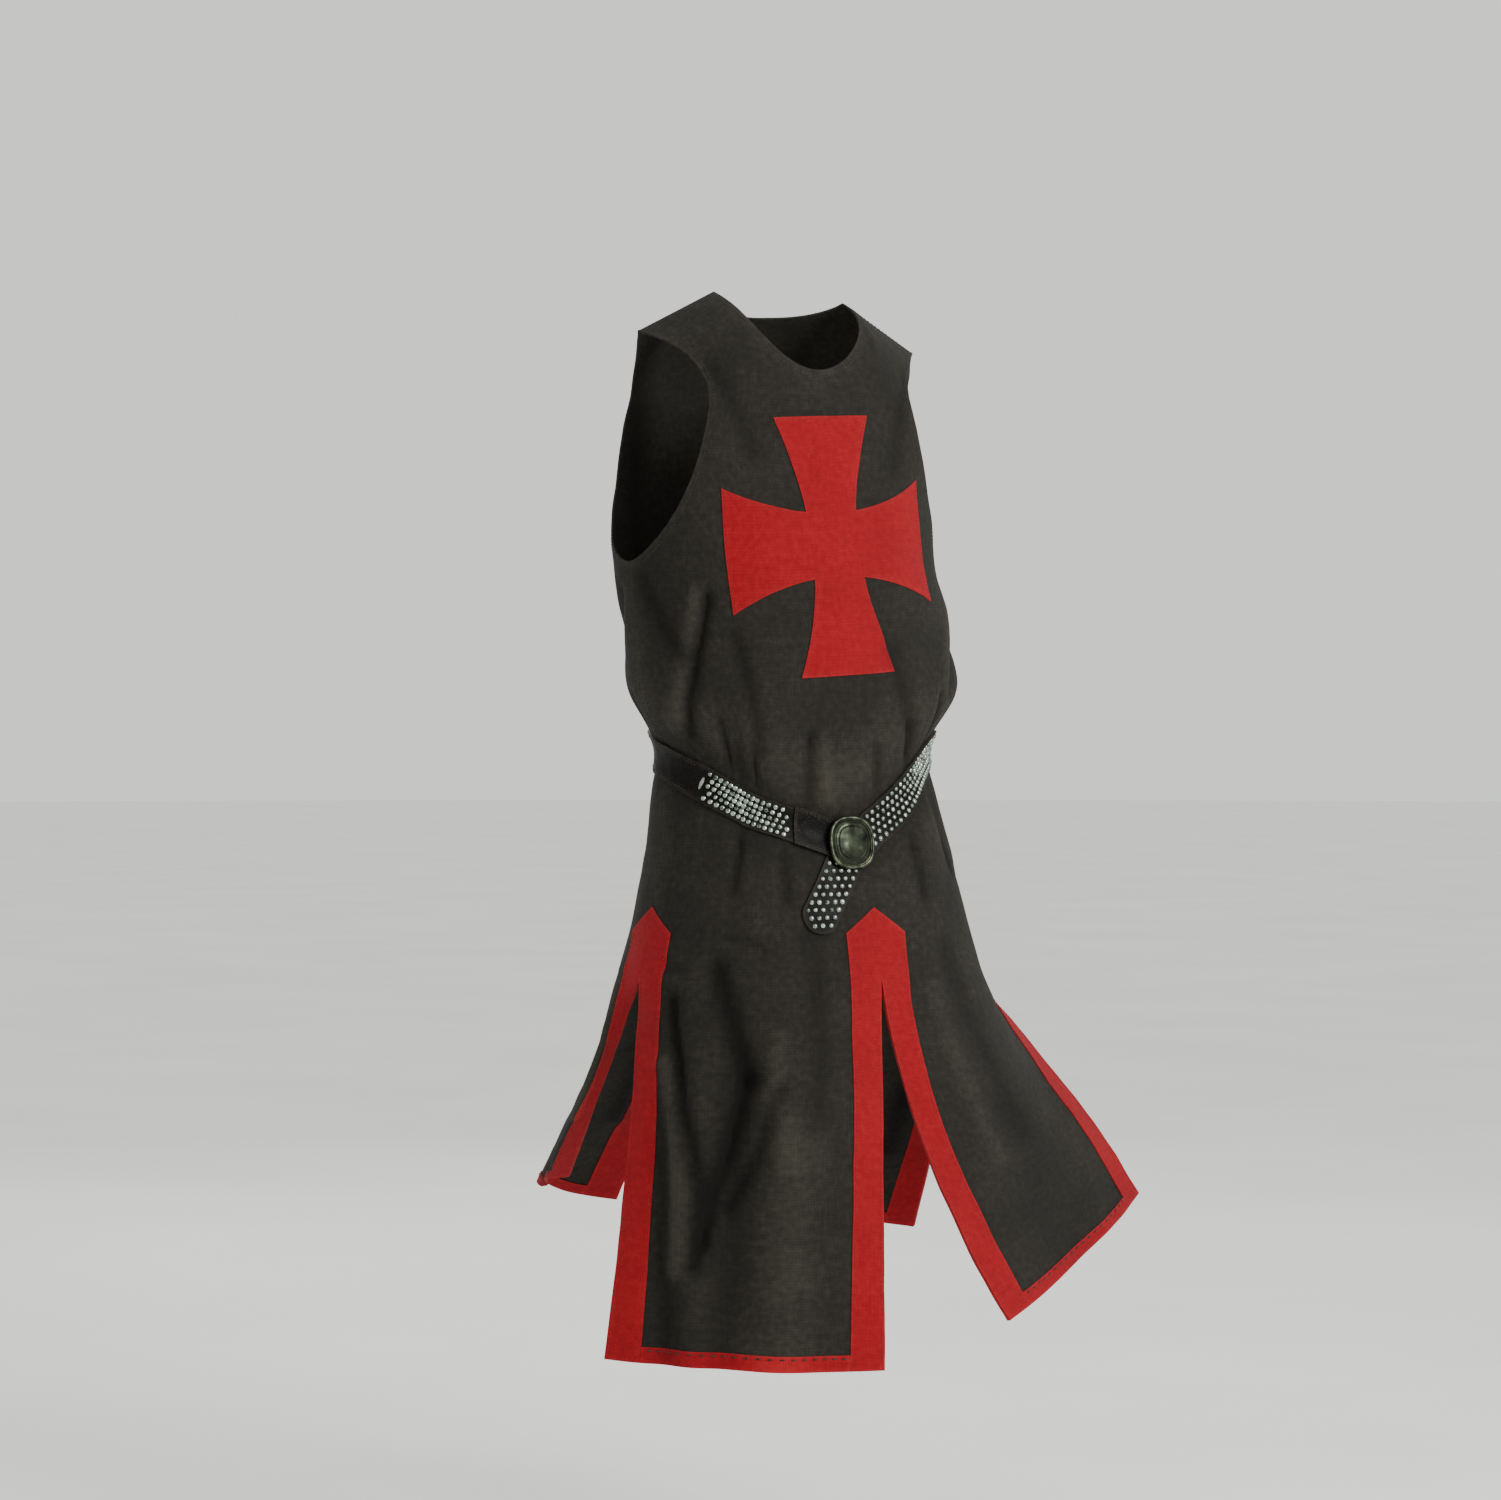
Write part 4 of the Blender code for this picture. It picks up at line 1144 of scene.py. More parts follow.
@dataclass(frozen=True)
class StudioFloor:
    """A matt painted floor, pale and nearly even."""

    name: str = "Matt painted studio floor"
    low: str = "#ededeb"
    high: str = "#f4f4f2"

    def material(self) -> bpy.types.Material:
        """Builds the node tree."""
        finish = Finish(self.name, {"Roughness": 0.9, "IOR": 1.5, "Specular IOR Level": 0.2})
        cloud = finish.cloud(finish.place(), 1.5, 3.0)
        return finish.finished({"Base Color": finish.ramp(cloud, (0.3, self.low), (0.7, self.high))})


class Palette:
    """Every finish of the garment, made once."""

    def __init__(self) -> None:
        """Makes the materials."""
        self.charcoal = DyedCotton(
            "Charcoal cotton, woven and dyed", "#0e0d0b", "#201e1a", "#35332c", bloom=0.015
        ).material()
        self.red = DyedCotton(
            "Red cotton, woven and dyed", "#50070c", "#7f0b14", "#9c2124", 1.5, 0.03, 0.6
        ).material()
        self.strap = BeltLeather(
            "Black strap leather, rolled", "#060605", "#0e0d0c", "#302c25"
        ).material()
        self.smooth = BeltLeather(
            "Black belt leather, polished", "#060606", "#0d0c0b", "#302c25", 3.0
        ).material()
        self.brass = WornMetal(
            "Antique brass, cast", "#121410", "#2a2e25", 0.33, 0.50, 13.0, "#6c705a"
        ).material()
        self.nickel = WornMetal(
            "Nickel-plated steel, pressed", "#343b35", "#a9b3a8", 0.16, 0.36, 7.0
        ).material()
        self.red_thread = SewingThread("Red sewing thread, spun", "#6a0f15", "#8c1a20").material()
        self.dark_thread = SewingThread("Black sewing thread, spun", "#14120f", "#38342d").material()


# Stitching ---------------------------------------------------------------------------------------


class Thread(Enum):
    """The threads that the garment is sewn with."""

    RED = "red"
    DARK = "dark"


@dataclass
class StitchRun:
    """A row of stitches along a path of the pattern.

    Attributes:
        path: Corners of the path, as distance round and down the cloth.
        height: The height of the thread above the cloth's inner face.
        thread: Which thread it is.
        length: Length of a stitch.
        pitch: Distance from one stitch to the next.
        width: Width of the thread, drawn a little thick so that it shows.
        proud: How far its middle stands above the cloth, as a share of its width.
    """

    path: list[Flat]
    height: float
    thread: Thread
    length: float = 0.0034
    pitch: float = 0.0050
    width: float = 0.0009
    proud: float = 0.15

    def ends(self) -> np.ndarray:
        """Both ends of each stitch, as rows of distance round, distance down and height."""
        path = np.asarray(self.path, float)
        steps = np.linalg.norm(np.diff(path, axis=0), axis=1)
        along = np.concatenate([[0.0], np.cumsum(steps)])
        starts = np.arange(self.pitch / 2, along[-1] - self.length, self.pitch)
        both = np.stack([starts, starts + self.length], axis=1).ravel()
        x, y = (np.interp(both, along, path[:, axis]) for axis in (0, 1))
        return np.stack([x, y, np.full(len(x), self.height)], axis=1)

    def places(self, net: ClothNet) -> list[Matrix]:
        """Where each stitch lies, as the matrix of a unit ball that is drawn out along it."""
        flat = self.ends()
        if not len(flat):
            return []
        found = []
        places = net.laid(flat).reshape(-1, 2, 3)
        lifted = net.laid(flat + (0, 0, 0.001)).reshape(-1, 2, 3)
        for (start, end), (above, _) in zip(places, lifted):
            along = Vector(end - start)
            out = Vector(above - start).normalized()
            side = out.cross(along).normalized()
            half = self.width / 2
            matrix = Matrix((side * half, out * half, along / 2)).transposed().to_4x4()
            matrix.translation = Vector((start + end) / 2) + out * self.width * self.proud
            found.append(matrix)
        return found


@dataclass
class Stitching:
    """All the stitches of the garment, gathered by thread."""

    runs: list[StitchRun] = field(default_factory=list)

    def add(self, *runs: StitchRun) -> None:
        """Takes in further rows of stitches."""
        self.runs.extend(runs)

    def build(self, net: ClothNet, palette: Palette) -> list[bpy.types.Object]:
        """Sews every row, as one mesh for each thread."""
        pieces = []
        finishes = {
            Thread.RED: (palette.red_thread, "red_cotton"),
            Thread.DARK: (palette.dark_thread, "charcoal_cotton"),
        }
        for thread, (material, slot) in finishes.items():
            places = [place for run in self.runs if run.thread is thread for place in run.places(net)]
            stitch = bmesh.new()
            bmesh.ops.create_uvsphere(stitch, u_segments=6, v_segments=4, radius=1.0)
            name = f"stitching_{thread.value}"
            piece = add_object(name, repeated(stitch, places, name), material)
            pieces.append(piece)
        return pieces


# The garment's pieces ------------------------------------------------------------------------------


def rounded(start: Flat, end: Flat, bulge: float, steps: int = 14) -> list[Flat]:
    """Points of a curved edge between two corners, squarer with a larger bulge."""
    turns = [math.pi / 2 * n / steps for n in range(steps + 1)]
    power = 2 / bulge
    return [
        (
            start[0] + (end[0] - start[0]) * math.sin(turn) ** power,
            end[1] + (start[1] - end[1]) * max(math.cos(turn), 0.0) ** power,
        )
        for turn in turns
    ]


def inset(path: list[Flat], distance: float) -> list[Flat]:
    """A path moved to its right-hand side, as seen on the pattern."""
    points = np.asarray(path, float)
    along = np.gradient(points, axis=0)
    along /= np.linalg.norm(along, axis=1, keepdims=True)
    across = np.stack([-along[:, 1], along[:, 0]], axis=1)
    return [tuple(point) for point in points + across * distance]


@dataclass
class Panel:
    """The front or the back of the tabard.

    Attributes:
        name: The piece's name.
        node: The solid node that it stands for.
        centre: Where its centre line lies round the garment.
        neck_depth: How deep its neckline is cut.
        turned_hem: How far in from a plain edge its hem is sewn.
        seam_stitch: How far from a seam its row of stitches runs.
        armhole_clear: How far below the armhole the side seam's row starts.
        neck_bulge: How square the neckline is.
        armhole_bulge: How square the armhole is.
    """

    name: str
    node: str
    centre: float
    neck_depth: float
    turned_hem: float = 0.008
    seam_stitch: float = 0.004
    armhole_clear: float = 0.006
    neck_bulge: float = 2.0
    armhole_bulge: float = 1.7

    def neck(self) -> list[Flat]:
        """The neckline, from the centre to the shoulder."""
        return rounded((0.0, self.neck_depth), (CUT.neck_half, CUT.gap / 2), self.neck_bulge)

    def armhole(self) -> list[Flat]:
        """The armhole, from the side seam to the shoulder."""
        seam = CUT.gap / 2
        foot, corner = (CUT.quarter - seam, CUT.armhole_foot), (CUT.armhole_waist, CUT.armhole_corner)
        curve = rounded(foot, corner, self.armhole_bulge)
        upper = (CUT.armhole_waist + CUT.armhole_upper_out, CUT.armhole_upper)
        return [*curve, upper, (CUT.shoulder_end, seam)]

    def outline(self) -> list[Flat]:
        """The whole pattern about its own centre line."""
        seam = CUT.gap / 2
        half = self.neck() + self.armhole()[::-1]
        half += [
            (CUT.quarter - seam, CUT.slit_top),
            (CUT.quarter - CUT.slit / 2, CUT.slit_top),
            (CUT.quarter - CUT.slit / 2, CUT.hem),
            (CUT.slit / 2, CUT.hem),
            (CUT.slit / 2, CUT.slit_top),
        ]
        return half + [(-around, row) for around, row in half[1:]][::-1]

    def build(self, net: ClothNet, palette: Palette, stitching: Stitching) -> bpy.types.Object:
        """Makes the panel, and hands its seams to the stitching.

        Args:
            net: The cloth's net.
            palette: The finishes.
            stitching: Where its rows of stitches are gathered.

        Returns:
            The panel.
        """
        outline = moved(self.outline(), self.centre)
        sewn = SewnPiece(self.name, self.node, "charcoal_cotton", (Layer(outline, 0.0, CUT.cloth),))
        piece = sewn.build(net, palette.charcoal)
        off = self.seam_stitch
        seam = CUT.quarter - off
        edges = [
            inset(self.neck(), self.turned_hem),
            inset(self.armhole()[1:], -self.turned_hem),
            [(CUT.neck_half + off, off), (CUT.shoulder_end - off, off)],
            [(seam, CUT.armhole_foot + self.armhole_clear), (seam, CUT.strip_shoulder)],
        ]
        for edge in edges:
            for side in (1, -1):
                path = [(self.centre + side * around, row) for around, row in edge]
                stitching.add(StitchRun(path, CUT.cloth, Thread.DARK))
        return piece


@dataclass
class Cross:
    """The red cross pattee on the chest: four arms that widen towards straight ends.

    Its `flat_height` is that of its outline, which lies tilted on the pattern. It is not used.
    """

    centre: float = 0.338
    half_height: float = 0.139
    half_width: float = 0.143
    upright_end: float = 0.060
    upright_waist: float = 0.032
    beam_end: float = 0.067
    beam_waist: float = 0.036
    hollow: float = 1.35
    steps: int = 9
    tilt: float = 0.07
    flat_height: float = 0.300
    wear_width: float = 0.012
    stitch_inset: float = 0.0030
    stitch: float = 0.0028
    pitch: float = 0.0040

    def outline(self, inside: float = 0.0) -> list[Flat]:
        """The cross's outline, or a line a little inside it for its stitches."""
        upright = (self.beam_waist, self.half_height, self.upright_waist, self.upright_end)
        beam = (self.upright_waist, self.half_width, self.beam_waist, self.beam_end)
        outline = []
        arms = ((0, -1, upright), (1, 0, beam), (0, 1, upright), (-1, 0, beam))
        for out_x, out_y, (root, reach, waist, end) in arms:
            side = []
            for n in range(self.steps + 1):
                share = n / self.steps
                along = root - inside + (reach - root) * share
                side.append((along, waist - inside + (end - waist) * share**self.hollow))
            edge = [(along, -wide) for along, wide in side] + side[::-1]
            for along, wide in edge[:-1]:
                around = out_x * along - out_y * wide
                down = out_y * along + out_x * wide
                outline.append((around, self.centre + down - self.tilt * around))
        return outline

    def build(self, net: ClothNet, palette: Palette, stitching: Stitching) -> bpy.types.Object:
        """Makes the cross and the stitches round its edge."""
        low = CUT.cloth + CUT.gap
        outline = self.outline()
        layers = (Layer(outline, low, low + CUT.band),)
        sewn = SewnPiece("cross_cloth", "cross_applique", "red_cotton", layers, self.wear_width)
        piece = sewn.build(net, palette.red)
        path = self.outline(self.stitch_inset)
        path.append(path[0])
        stitching.add(StitchRun(path, low + CUT.band, Thread.RED, self.stitch, self.pitch))
        return piece


@dataclass
class SlitBand:
    """The red band round a slit: a pointed top, and strips folded over both edges of the slit.

    Attributes:
        name: The piece's name.
        node: The solid node that it stands for.
        centre: Where the slit lies round the garment.
        turned_in: How much of the cut goes round its two folds. It is not used.
        wear_width: How far wear reaches in from its edge.
        outer_stitch: How far from its outer edge a row of stitches runs.
        inner_stitch: How far from the slit a row runs.
        point_stitch: How far below the tip of its point the outer rows meet.
        shoulder_stitch: How far below the foot of the point they turn down.
        end_stitch: How far above its lower end they stop.
    """

    name: str
    node: str
    centre: float
    turned_in: float = 0.010
    wear_width: float = 0.010
    outer_stitch: float = 0.0028
    inner_stitch: float = 0.0032
    point_stitch: float = 0.004
    shoulder_stitch: float = 0.002
    end_stitch: float = 0.003

    def build(self, net: ClothNet, palette: Palette, stitching: Stitching) -> bpy.types.Object:
        """Makes the band and its two rows of stitches on each side."""
        above = CUT.cloth + CUT.gap
        end = CUT.hem + CUT.gap + CUT.band
        edge = CUT.slit / 2 - CUT.gap
        fold = edge - CUT.band
        start = CUT.slit_top + 2 * CUT.gap
        wide = CUT.strip_width
        half = [(wide, CUT.strip_shoulder), (wide, end), (fold, end), (fold, start)]
        outside = [(0.0, CUT.strip_point), *half, *[(-a, row) for a, row in half[::-1]]]
        outside = moved(outside, self.centre)
        folds = (
            (self.centre + fold, self.centre + edge, start, end),
            (self.centre - edge, self.centre - fold, start, end),
        )
        cuts, row_cuts = (self.centre + edge, self.centre - edge), (start,)
        layers = [Layer(outside, above, above + CUT.band, cuts, row_cuts, open_low=folds)]
        for side in (1, -1):
            strip = [(fold, start), (wide, start), (wide, end), (fold, end)]
            turned = [(fold, start), (edge, start), (edge, end), (fold, end)]
            strip = moved([(side * a, row) for a, row in strip], self.centre)
            turned = moved([(side * a, row) for a, row in turned], self.centre)
            layers.append(Layer(strip, -CUT.gap - CUT.band, -CUT.gap, cuts, row_cuts, open_high=folds))
            layers.append(Layer(turned, -CUT.gap, above, cuts, row_cuts, open_low=folds, open_high=folds))
        sewn = SewnPiece(self.name, self.node, "red_cotton", tuple(layers), self.wear_width)
        piece = sewn.build(net, palette.red)
        area = sum(flat_area(layer.outline) for layer in layers)
        point = (self.centre, CUT.strip_point + self.point_stitch)
        shoulder, last = CUT.strip_shoulder + self.shoulder_stitch, end - self.end_stitch
        for side in (1, -1):
            outer = self.centre + side * (wide - self.outer_stitch)
            inner = self.centre + side * (fold + self.inner_stitch)
            for path in ([point, (outer, shoulder), (outer, last)], [(inner, start), (inner, last)]):
                stitching.add(StitchRun(path, above + CUT.band, Thread.RED))
        return piece


@dataclass
class HemBand:
    """The narrow red band along the hem of one quarter, folded over its lower edge.

    It is sewn by hand with a thick thread, `stitch_row` below its upper edge.
    """

    name: str
    node: str
    start: float
    wear_width: float = 0.006
    stitch_row: float = 0.0035
    stitch: float = 0.0058
    pitch: float = 0.0110
    thread_width: float = 0.0018

    def build(self, net: ClothNet, palette: Palette, stitching: Stitching) -> bpy.types.Object:
        """Makes the band and its hand-sewn row of dark stitches."""
        above = CUT.cloth + CUT.gap
        left = self.start + CUT.strip_width + CUT.gap
        right = self.start + CUT.quarter - CUT.strip_width - CUT.gap
        top = CUT.hem - CUT.hem_band_width
        edge = CUT.hem + CUT.gap
        end = edge + CUT.band
        fold = ((left, right, edge, end),)
        strip = [(left, top), (right, top), (right, end), (left, end)]
        turned = [(left, edge), (right, edge), (right, end), (left, end)]
        layers = (
            Layer(strip, above, above + CUT.band, (), (edge,), open_low=fold),
            Layer(strip, -CUT.gap - CUT.band, -CUT.gap, (), (edge,), open_high=fold),
            Layer(turned, -CUT.gap, above, open_low=fold, open_high=fold),
        )
        sewn = SewnPiece(self.name, self.node, "red_cotton", layers, self.wear_width)
        piece = sewn.build(net, palette.red)
        path = [(left, top + self.stitch_row), (right, top + self.stitch_row)]
        sizes = (self.stitch, self.pitch, self.thread_width)
        stitching.add(StitchRun(path, above + CUT.band, Thread.DARK, *sizes))
        return piece


def ribbon(line: list[Mark], width: float) -> tuple[list[Flat], list[Flat]]:
    """Both edges of a strap of even width along a line on the cloth.

    Args:
        line: Marks along the strap's middle.
        width: The strap's width.

    Returns:
        The upper and the lower edge.
    """
    middles = [Vector(mark.flat) for mark in line]
    upper, lower = [], []
    for n, middle in enumerate(middles):
        along = (middles[min(n + 1, len(middles) - 1)] - middles[max(n - 1, 0)]).normalized()
        across = Vector((along.y, -along.x)) * width / 2
        upper.append(tuple(middle + across))
        lower.append(tuple(middle - across))
    return upper, lower


def lattice(line: list[Flat], rows: tuple[tuple[float, ...], ...], step: float) -> list[Flat]:
    """Places of staggered rows of studs along a line.

    Args:
        line: Points along the middle, as distance round and down the cloth.
        rows: Offsets from the middle, for each of the columns that take turns.
        step: Distance from one column to the next.

    Returns:
        The studs' places on the pattern.
    """
    path = np.asarray(line, float)
    steps = np.linalg.norm(np.diff(path, axis=0), axis=1)
    along = np.concatenate([[0.0], np.cumsum(steps)])
    places = []
    for n, at in enumerate(np.arange(step, along[-1] - step / 2, step)):
        here, ahead = (
            np.array([np.interp(s, along, path[:, axis]) for axis in (0, 1)]) for s in (at, at + 1e-4)
        )
        run = (ahead - here) / np.linalg.norm(ahead - here)
        places += [tuple(here + np.array((run[1], -run[0])) * off) for off in rows[n % len(rows)]]
    return places


class Ring(NamedTuple):
    """A ring of the plate, from its rim inwards.

    Its size is a share of the plate's, and its height is `thick` times the plate's thickness and
    `dome` times its dome.
    """

    size: float
    thick: float
    dome: float
    rubbed: float = 0.0


PLATE_RINGS = (
    Ring(0.970, 0.00, 0.00, 1.0),
    Ring(1.000, 0.18, 0.00, 0.4),
    Ring(1.000, 0.70, 0.00, 0.4),
    Ring(0.985, 0.95, 0.00, 1.0),
    Ring(0.955, 1.10, 0.00, 1.0),
    Ring(0.915, 1.16, 0.00, 1.0),
    Ring(0.885, 1.06, 0.00),
    Ring(0.868, 0.80, 0.00),
    Ring(0.845, 0.78, 0.00),
    Ring(0.825, 0.96, 0.00),
    Ring(0.760, 1.00, 0.10),
    Ring(0.745, 1.00, -0.05),
    Ring(0.728, 1.00, -0.05),
    Ring(0.712, 1.00, 0.16),
    Ring(0.640, 1.00, 0.26),
    Ring(0.620, 1.00, 0.10),
    Ring(0.600, 1.00, 0.10),
    Ring(0.580, 1.00, 0.34),
    Ring(0.420, 1.00, 0.52),
    Ring(0.220, 1.00, 0.66),
    Ring(0.080, 1.00, 0.70),
)


@dataclass
class Belt:
    """The belt: a studded strap with its hanging free end, smooth leather, and an oval plate.

    All places are pattern distances round the garment, and all sizes are in metres. `studded_left`
    and `studded_right` are where the studs stop, each with one long stud `long_stud_out` beyond.
    `seat_margin` is how much wider than the plate the leather is that it has to clear.
    """

    width: float = 0.041
    end_from: float = -0.079
    end_to: float = -0.026
    end_margin: float = 0.0015
    strap_from: float = 0.016
    strap_to: float = 1.100
    tail_width: float = 0.040
    tail_tip: float = 0.8
    stud_radius: float = 0.0031
    stud_height: float = 0.0021
    stud_step: float = 0.0050
    stud_margin: float = 0.0008
    stud_unlike: float = 0.22
    stud_rows: tuple = ((-0.0148, 0.0, 0.0148), (-0.0074, 0.0074))
    studs_from: float = 0.006
    studs_off_end: float = 0.002
    studs_past_tail: Flat = (-0.008, 0.012)
    studs_under_plate: float = 0.001
    long_stud: Flat = (0.0024, 0.0085)
    long_stud_out: float = 0.004
    studded_left: float = 0.262
    studded_right: float = -0.232
    plate_at: float = -0.018
    plate_width: float = 0.056
    plate_height: float = 0.058
    plate_thick: float = 0.0030
    plate_dome: float = 0.0030
    plate_round: float = 0.8
    seat_margin: float = 1.04
    mark_step: float = 0.006
    wear_width: float = 0.005
    end_stitch_inset: float = 0.002
    end_stitch_in: float = 0.003
    end_stitches: Flat = (0.0030, 0.0045)
    strap_stitch_inset: float = 0.0035
    strap_stitch_clear: float = 0.014

    @property
    def top(self) -> float:
        """Height of the strap's outer face above the cloth's inner face."""
        return CUT.cloth + CUT.gap + CUT.leather

    def middle(self, start: float, end: float) -> list[Mark]:
        """Closely spaced marks along the belt's middle line."""
        count = max(2, round((end - start) / self.mark_step) + 1)
        return [Mark(around, belt_down(around)) for around in np.linspace(start, end, count).tolist()]

    def tail_middle(self) -> list[Mark]:
        """Closely spaced marks along the middle of the free end."""
        return [Mark(*spline(range(len(TAIL_LINE)), TAIL_LINE, n / 5)) for n in range(16)]

    def build(self, net: ClothNet, palette: Palette, stitching: Stitching) -> list[bpy.types.Object]:
        """Makes the leather, the studs and the plate."""
        leather = [self.strap(net, palette), self.smooth_end(net, palette, stitching)]
        return [*leather, self.studs(net, palette), self.plate(net, palette)]

    def strap_outline(self) -> list[Flat]:
        """The outline of the strap, from its free end round the back to its left end."""
        upper, lower = ribbon(self.middle(self.strap_from, self.strap_to), self.width)
        line = self.tail_middle()
        left_side, right_side = ribbon(line, self.tail_width)
        tip = Vector(line[-1].flat)
        along = (tip - Vector(line[-2].flat)).normalized()
        across = Vector((along.y, -along.x))
        ends = []
        for n in range(1, 12):
            turn = math.pi * n / 12
            reach = across * math.cos(turn) + along * self.tail_tip * math.sin(turn)
            ends.append(tuple(tip + reach * self.tail_width / 2))
        return upper + lower[::-1] + left_side[3:] + ends + right_side[3:][::-1]

    def strap(self, net: ClothNet, palette: Palette) -> bpy.types.Object:
        """The leather of the strap and of its free end."""
        layers = (Layer(self.strap_outline(), CUT.cloth + CUT.gap, self.top),)
        sewn = SewnPiece("belt_strap_leather", "belt_strap", "black_leather", layers, self.wear_width)
        return sewn.build(net, palette.strap)

    def smooth_end(self, net: ClothNet, palette: Palette, stitching: Stitching) -> bpy.types.Object:
        """The smooth leather over the strap's left end, with a row of stitches at its edges."""
        start, end = CUT.turn + self.end_from, CUT.turn + self.end_to
        low = self.top + CUT.gap
        high = low + CUT.belt_end_leather
        line = self.middle(start, end)
        upper, lower = ribbon(line, self.width + 2 * self.end_margin)
        layers = (Layer(upper + lower[::-1], low, high),)
        sewn = SewnPiece("belt_end_leather", "belt_end", "black_leather", layers, self.wear_width)
        piece = sewn.build(net, palette.smooth)
        for edge in ribbon(line, self.width - 2 * self.end_stitch_inset):
            stitching.add(StitchRun(edge, high, Thread.DARK, *self.end_stitches))
        clear = self.strap_stitch_clear
        plain = self.middle(self.studded_left + clear, CUT.turn + self.studded_right - clear)
        for edge in ribbon(plain, self.width - 2 * self.strap_stitch_inset):
            stitching.add(StitchRun(edge, self.top, Thread.DARK))
        path = [(around + self.end_stitch_in, row) for around, row in (upper[0], lower[0])]
        stitching.add(StitchRun(path, high, Thread.DARK, *self.end_stitches))
        return piece

    def studs(self, net: ClothNet, palette: Palette) -> bpy.types.Object:
        """Staggered rows of small domed studs, with a long stud where they end at each side."""
        left = self.middle(self.studs_from, self.studded_left)
        right = self.middle(CUT.turn + self.studded_right, CUT.turn + self.end_from - self.studs_off_end)
        lines = [[mark.flat for mark in line] for line in (left, right, self.tail_middle())]
        last, past = lines[2][-1], self.studs_past_tail
        lines[2].append((last[0] + past[0], last[1] + past[1]))
        places = [place for line in lines for place in lattice(line, self.stud_rows, self.stud_step)]
        margins = distance_to_edge(np.array(places), self.strap_outline(), self.width)
        plate = Mark(self.plate_at, belt_down(self.plate_at)).flat
        nearest = self.plate_width / 2 - self.studs_under_plate
        found = []
        for place, margin in zip(places, margins):
            if math.dist(place, plate) > nearest and margin > self.stud_radius + self.stud_margin:
                unlike = noise.noise(Vector((*place, 0.0)) / self.stud_radius)
                size = self.stud_radius * (1 + self.stud_unlike * unlike)
                found.append(self.stud(net, *place, size, size))
        out = self.long_stud_out
        for around in (self.studded_left + out, CUT.turn + self.studded_right - out):
            found.append(self.stud(net, *Mark(around, belt_down(around)).flat, *self.long_stud))
        dome = bmesh.new()
        bmesh.ops.create_uvsphere(dome, u_segments=10, v_segments=6, radius=1.0)
        piece = add_object("belt_studs", repeated(dome, found, "belt_studs"), palette.nickel)
        return piece

    def stud(self, net: ClothNet, around: float, row: float, half: float, tall: float) -> Matrix:
        """The place of one domed stud, `half` along the strap and `tall` across it from its middle."""
        place, side, out = net.frame_at(around, row, self.top)
        reach = 0.01
        slope = (belt_down(around + reach) - belt_down(around - reach)) / (2 * reach)
        down = out.cross(side).normalized()
        if down.z > 0:
            down.negate()
        side = (side + down * slope).normalized()
        down = side.cross(out).normalized()
        matrix = Matrix((side * half, down * tall, out * self.stud_height)).transposed().to_4x4()
        matrix.translation = place
        return matrix

    def seat(self, net: ClothNet) -> tuple[Vector, Vector, Vector, Vector]:
        """Where the plate lies flat on the crossing of the straps, with its three directions."""
        at, row = Mark(self.plate_at, belt_down(self.plate_at)).flat
        low = self.top + CUT.gap + CUT.belt_end_leather + CUT.gap
        half_w, half_h = self.plate_width / 2, self.plate_height / 2
        ends = ((0, 0), (-half_w, 0), (half_w, 0), (0, -half_h), (0, half_h))
        laid = net.laid([(at + across, row + down, low) for across, down in ends])
        middle, left, right, top, foot = (Vector(place) for place in laid)
        side = (right - left).normalized()
        out = side.cross(top - foot).normalized()
        trials = []
        grid = np.linspace(-1, 1, 25)
        for across in grid:
            for along in grid:
                if math.hypot(across, along) <= self.seat_margin:
                    around = at + across * half_w
                    under = low if around < self.end_to + CUT.gap else self.top + CUT.gap
                    trials.append((around, row + along * half_h, under))
        proud = float(((net.laid(trials) - np.array(middle)) @ np.array(out)).max())
        return middle + out * proud, side, out.cross(side), out

    def plate(self, net: ClothNet, palette: Palette) -> bpy.types.Object:
        """The cast oval plate: a raised rim, two engraved lines and a low dome."""
        seat, side, up, out = self.seat(net)
        mesh = bmesh.new()
        angle = mesh.verts.layers.float.new("angle")
        wear = mesh.verts.layers.float.new("wear")
        ring = bmesh.ops.create_circle(mesh, cap_ends=False, radius=1.0, segments=96)["verts"]
        for vertex in ring:
            vertex[angle] = math.atan2(vertex.co.y, vertex.co.x)
        for n, turn in enumerate(PLATE_RINGS):
            height = turn.thick * self.plate_thick + turn.dome * self.plate_dome
            if n:
                corners = set(ring)
                edges = [edge for edge in mesh.edges if edge.is_boundary or edge.is_wire]
                edges = [edge for edge in edges if corners.issuperset(edge.verts)]
                grown = bmesh.ops.extrude_edge_only(mesh, edges=edges)["geom"]
                ring = [part for part in grown if isinstance(part, bmesh.types.BMVert)]
            for vertex in ring:
                vertex[wear] = turn.rubbed
                across, along = math.cos(vertex[angle]), math.sin(vertex[angle])
                wide = math.copysign(abs(across) ** self.plate_round, across) * self.plate_width / 2
                high = math.copysign(abs(along) ** self.plate_round, along) * self.plate_height / 2
                vertex.co = seat + (side * wide + up * high) * turn.size + out * height
        bmesh.ops.holes_fill(mesh, edges=[edge for edge in mesh.edges if edge.is_boundary], sides=0)
        bmesh.ops.recalc_face_normals(mesh, faces=mesh.faces)
        if mesh.calc_volume(signed=True) < 0:
            bmesh.ops.reverse_faces(mesh, faces=mesh.faces)
        piece = mesh_object("belt_plate_cast", mesh, palette.brass)
        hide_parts("belt_plate")
        return piece


# Studio ----------------------------------------------------------------------------------------------


class Lamp(NamedTuple):
    """A square soft box: its place, what it points at, its side in metres and its power in watts."""

    name: str
    place: tuple[float, float, float]
    aim: tuple[float, float, float]
    size: float
    power: float


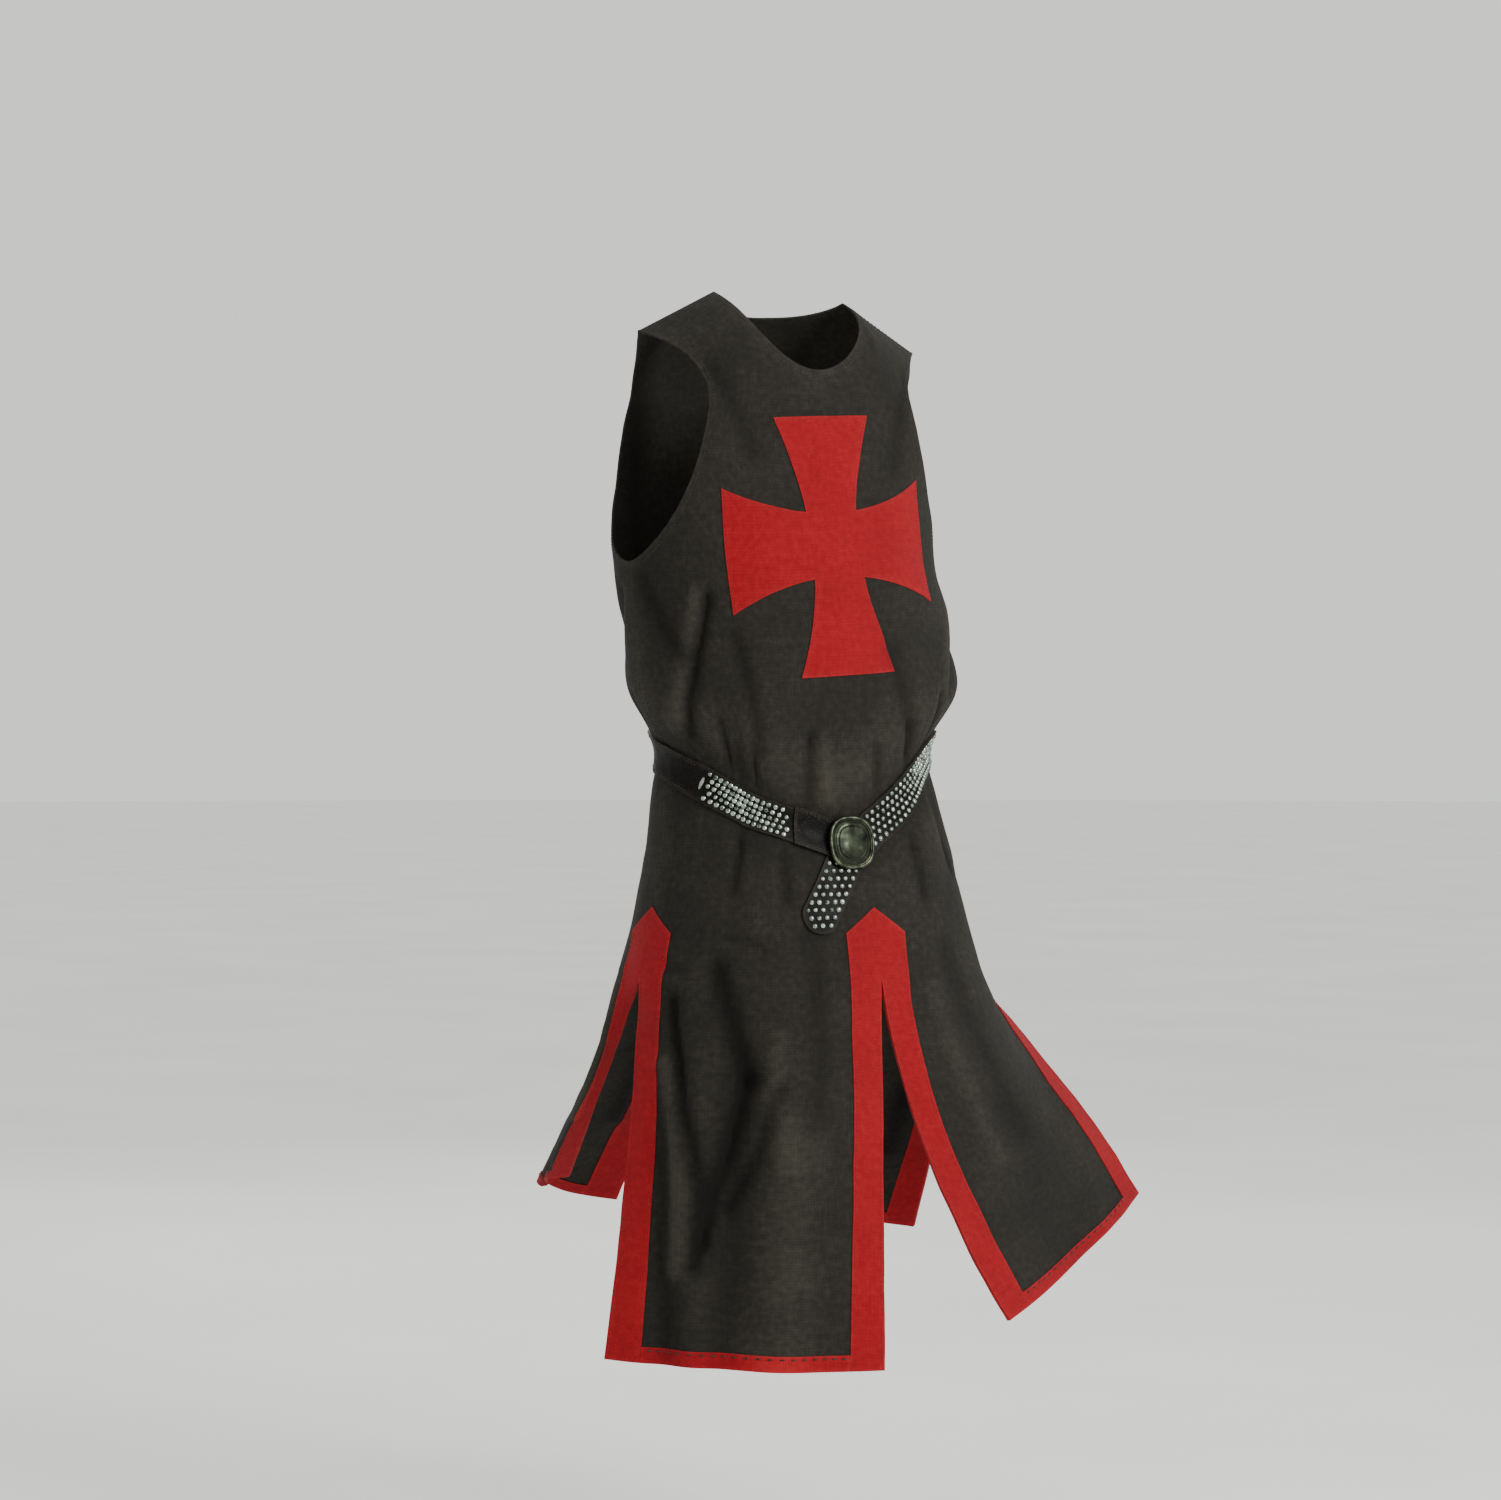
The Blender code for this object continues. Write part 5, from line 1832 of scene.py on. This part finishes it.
LAMPS = (
    Lamp("key", (0.9, -3.6, 0.9), (0.0, 0.0, -0.55), 1.3, 158.0),
    Lamp("fill", (-2.9, -2.6, 0.5), (0.0, 0.0, -0.6), 0.8, 6.0),
    Lamp("back", (1.0, 3.4, 1.2), (0.0, 0.0, -0.5), 2.0, 40.0),
)


@dataclass
class Studio:
    """A pale floor, soft lights and the camera."""

    floor_level: float = -1.480
    camera_place: tuple[float, float, float] = (-1.9834, -3.0045, -0.500)
    camera_turn: float = -33.0
    lens: float = 77.72
    sensor: float = 36.0
    daylight: str = "#f2f2f0"
    daylight_strength: float = 1.15
    floor_radius: float = 60.0

    def floor(self) -> None:
        """A wide round floor, which isn't part of the object."""
        mesh = bmesh.new()
        place = Matrix.Translation((0, 0, self.floor_level))
        bmesh.ops.create_circle(mesh, cap_ends=True, radius=self.floor_radius, segments=96, matrix=place)
        data = bpy.data.meshes.new("studio_floor")
        mesh.to_mesh(data)
        mesh.free()
        data.materials.append(StudioFloor().material())
        in_scene("studio_floor", data)

    def lights(self) -> None:
        """An even daylight, a key lamp beside the camera, a fill and a light from behind."""
        world = bpy.data.worlds.new("studio")
        world.use_nodes = True
        surround = world.node_tree.nodes["Background"]
        surround.inputs["Color"].default_value = linear(self.daylight)
        surround.inputs["Strength"].default_value = self.daylight_strength
        bpy.context.scene.world = world
        for soft_box in LAMPS:
            data = bpy.data.lights.new(soft_box.name, "AREA")
            data.size = soft_box.size
            data.energy = soft_box.power
            lamp = in_scene(soft_box.name, data)
            lamp.location = soft_box.place
            lamp.rotation_mode = "QUATERNION"
            back = Vector(soft_box.place) - Vector(soft_box.aim)
            lamp.rotation_quaternion = back.to_track_quat("Z", "Y")

    def camera(self) -> None:
        """The camera, level with the waist and to the wearer's right of the front."""
        data = bpy.data.cameras.new("camera")
        data.lens = self.lens
        data.sensor_width = self.sensor
        camera = in_scene("camera", data)
        camera.location = self.camera_place
        camera.rotation_euler = (math.radians(90), 0.0, math.radians(self.camera_turn))
        bpy.context.scene.camera = camera


def main() -> None:
    """Builds and dresses the tabard, piece by piece."""
    logging.basicConfig(level=logging.INFO, format="%(name)s: %(message)s")
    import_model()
    palette = Palette()
    stitching = Stitching()
    net = ClothNet(WornForm(), Relief(), NET_CELL)
    makers: list[Callable] = [
        Panel("front_cloth", "front_panel", 0.0, CUT.front_neck).build,
        Panel("back_cloth", "back_panel", 2 * CUT.quarter, CUT.back_neck).build,
        Cross().build,
    ]
    for k, side in enumerate(("front", "left", "back", "right")):
        makers.append(SlitBand(f"{side}_slit_cloth", f"slit_band_{side}", k * CUT.quarter).build)
    for k, quarter in enumerate(QUARTERS):
        names = (f"{quarter.name}_hem_cloth", f"hem_band_{quarter.name}")
        makers.append(HemBand(*names, k * CUT.quarter).build)
    makers.append(Belt().build)
    for make in makers:
        make(net, palette, stitching)
    stitching.build(net, palette)
    studio = Studio()
    studio.floor()
    studio.lights()
    studio.camera()


if __name__ == "__main__":
    main()
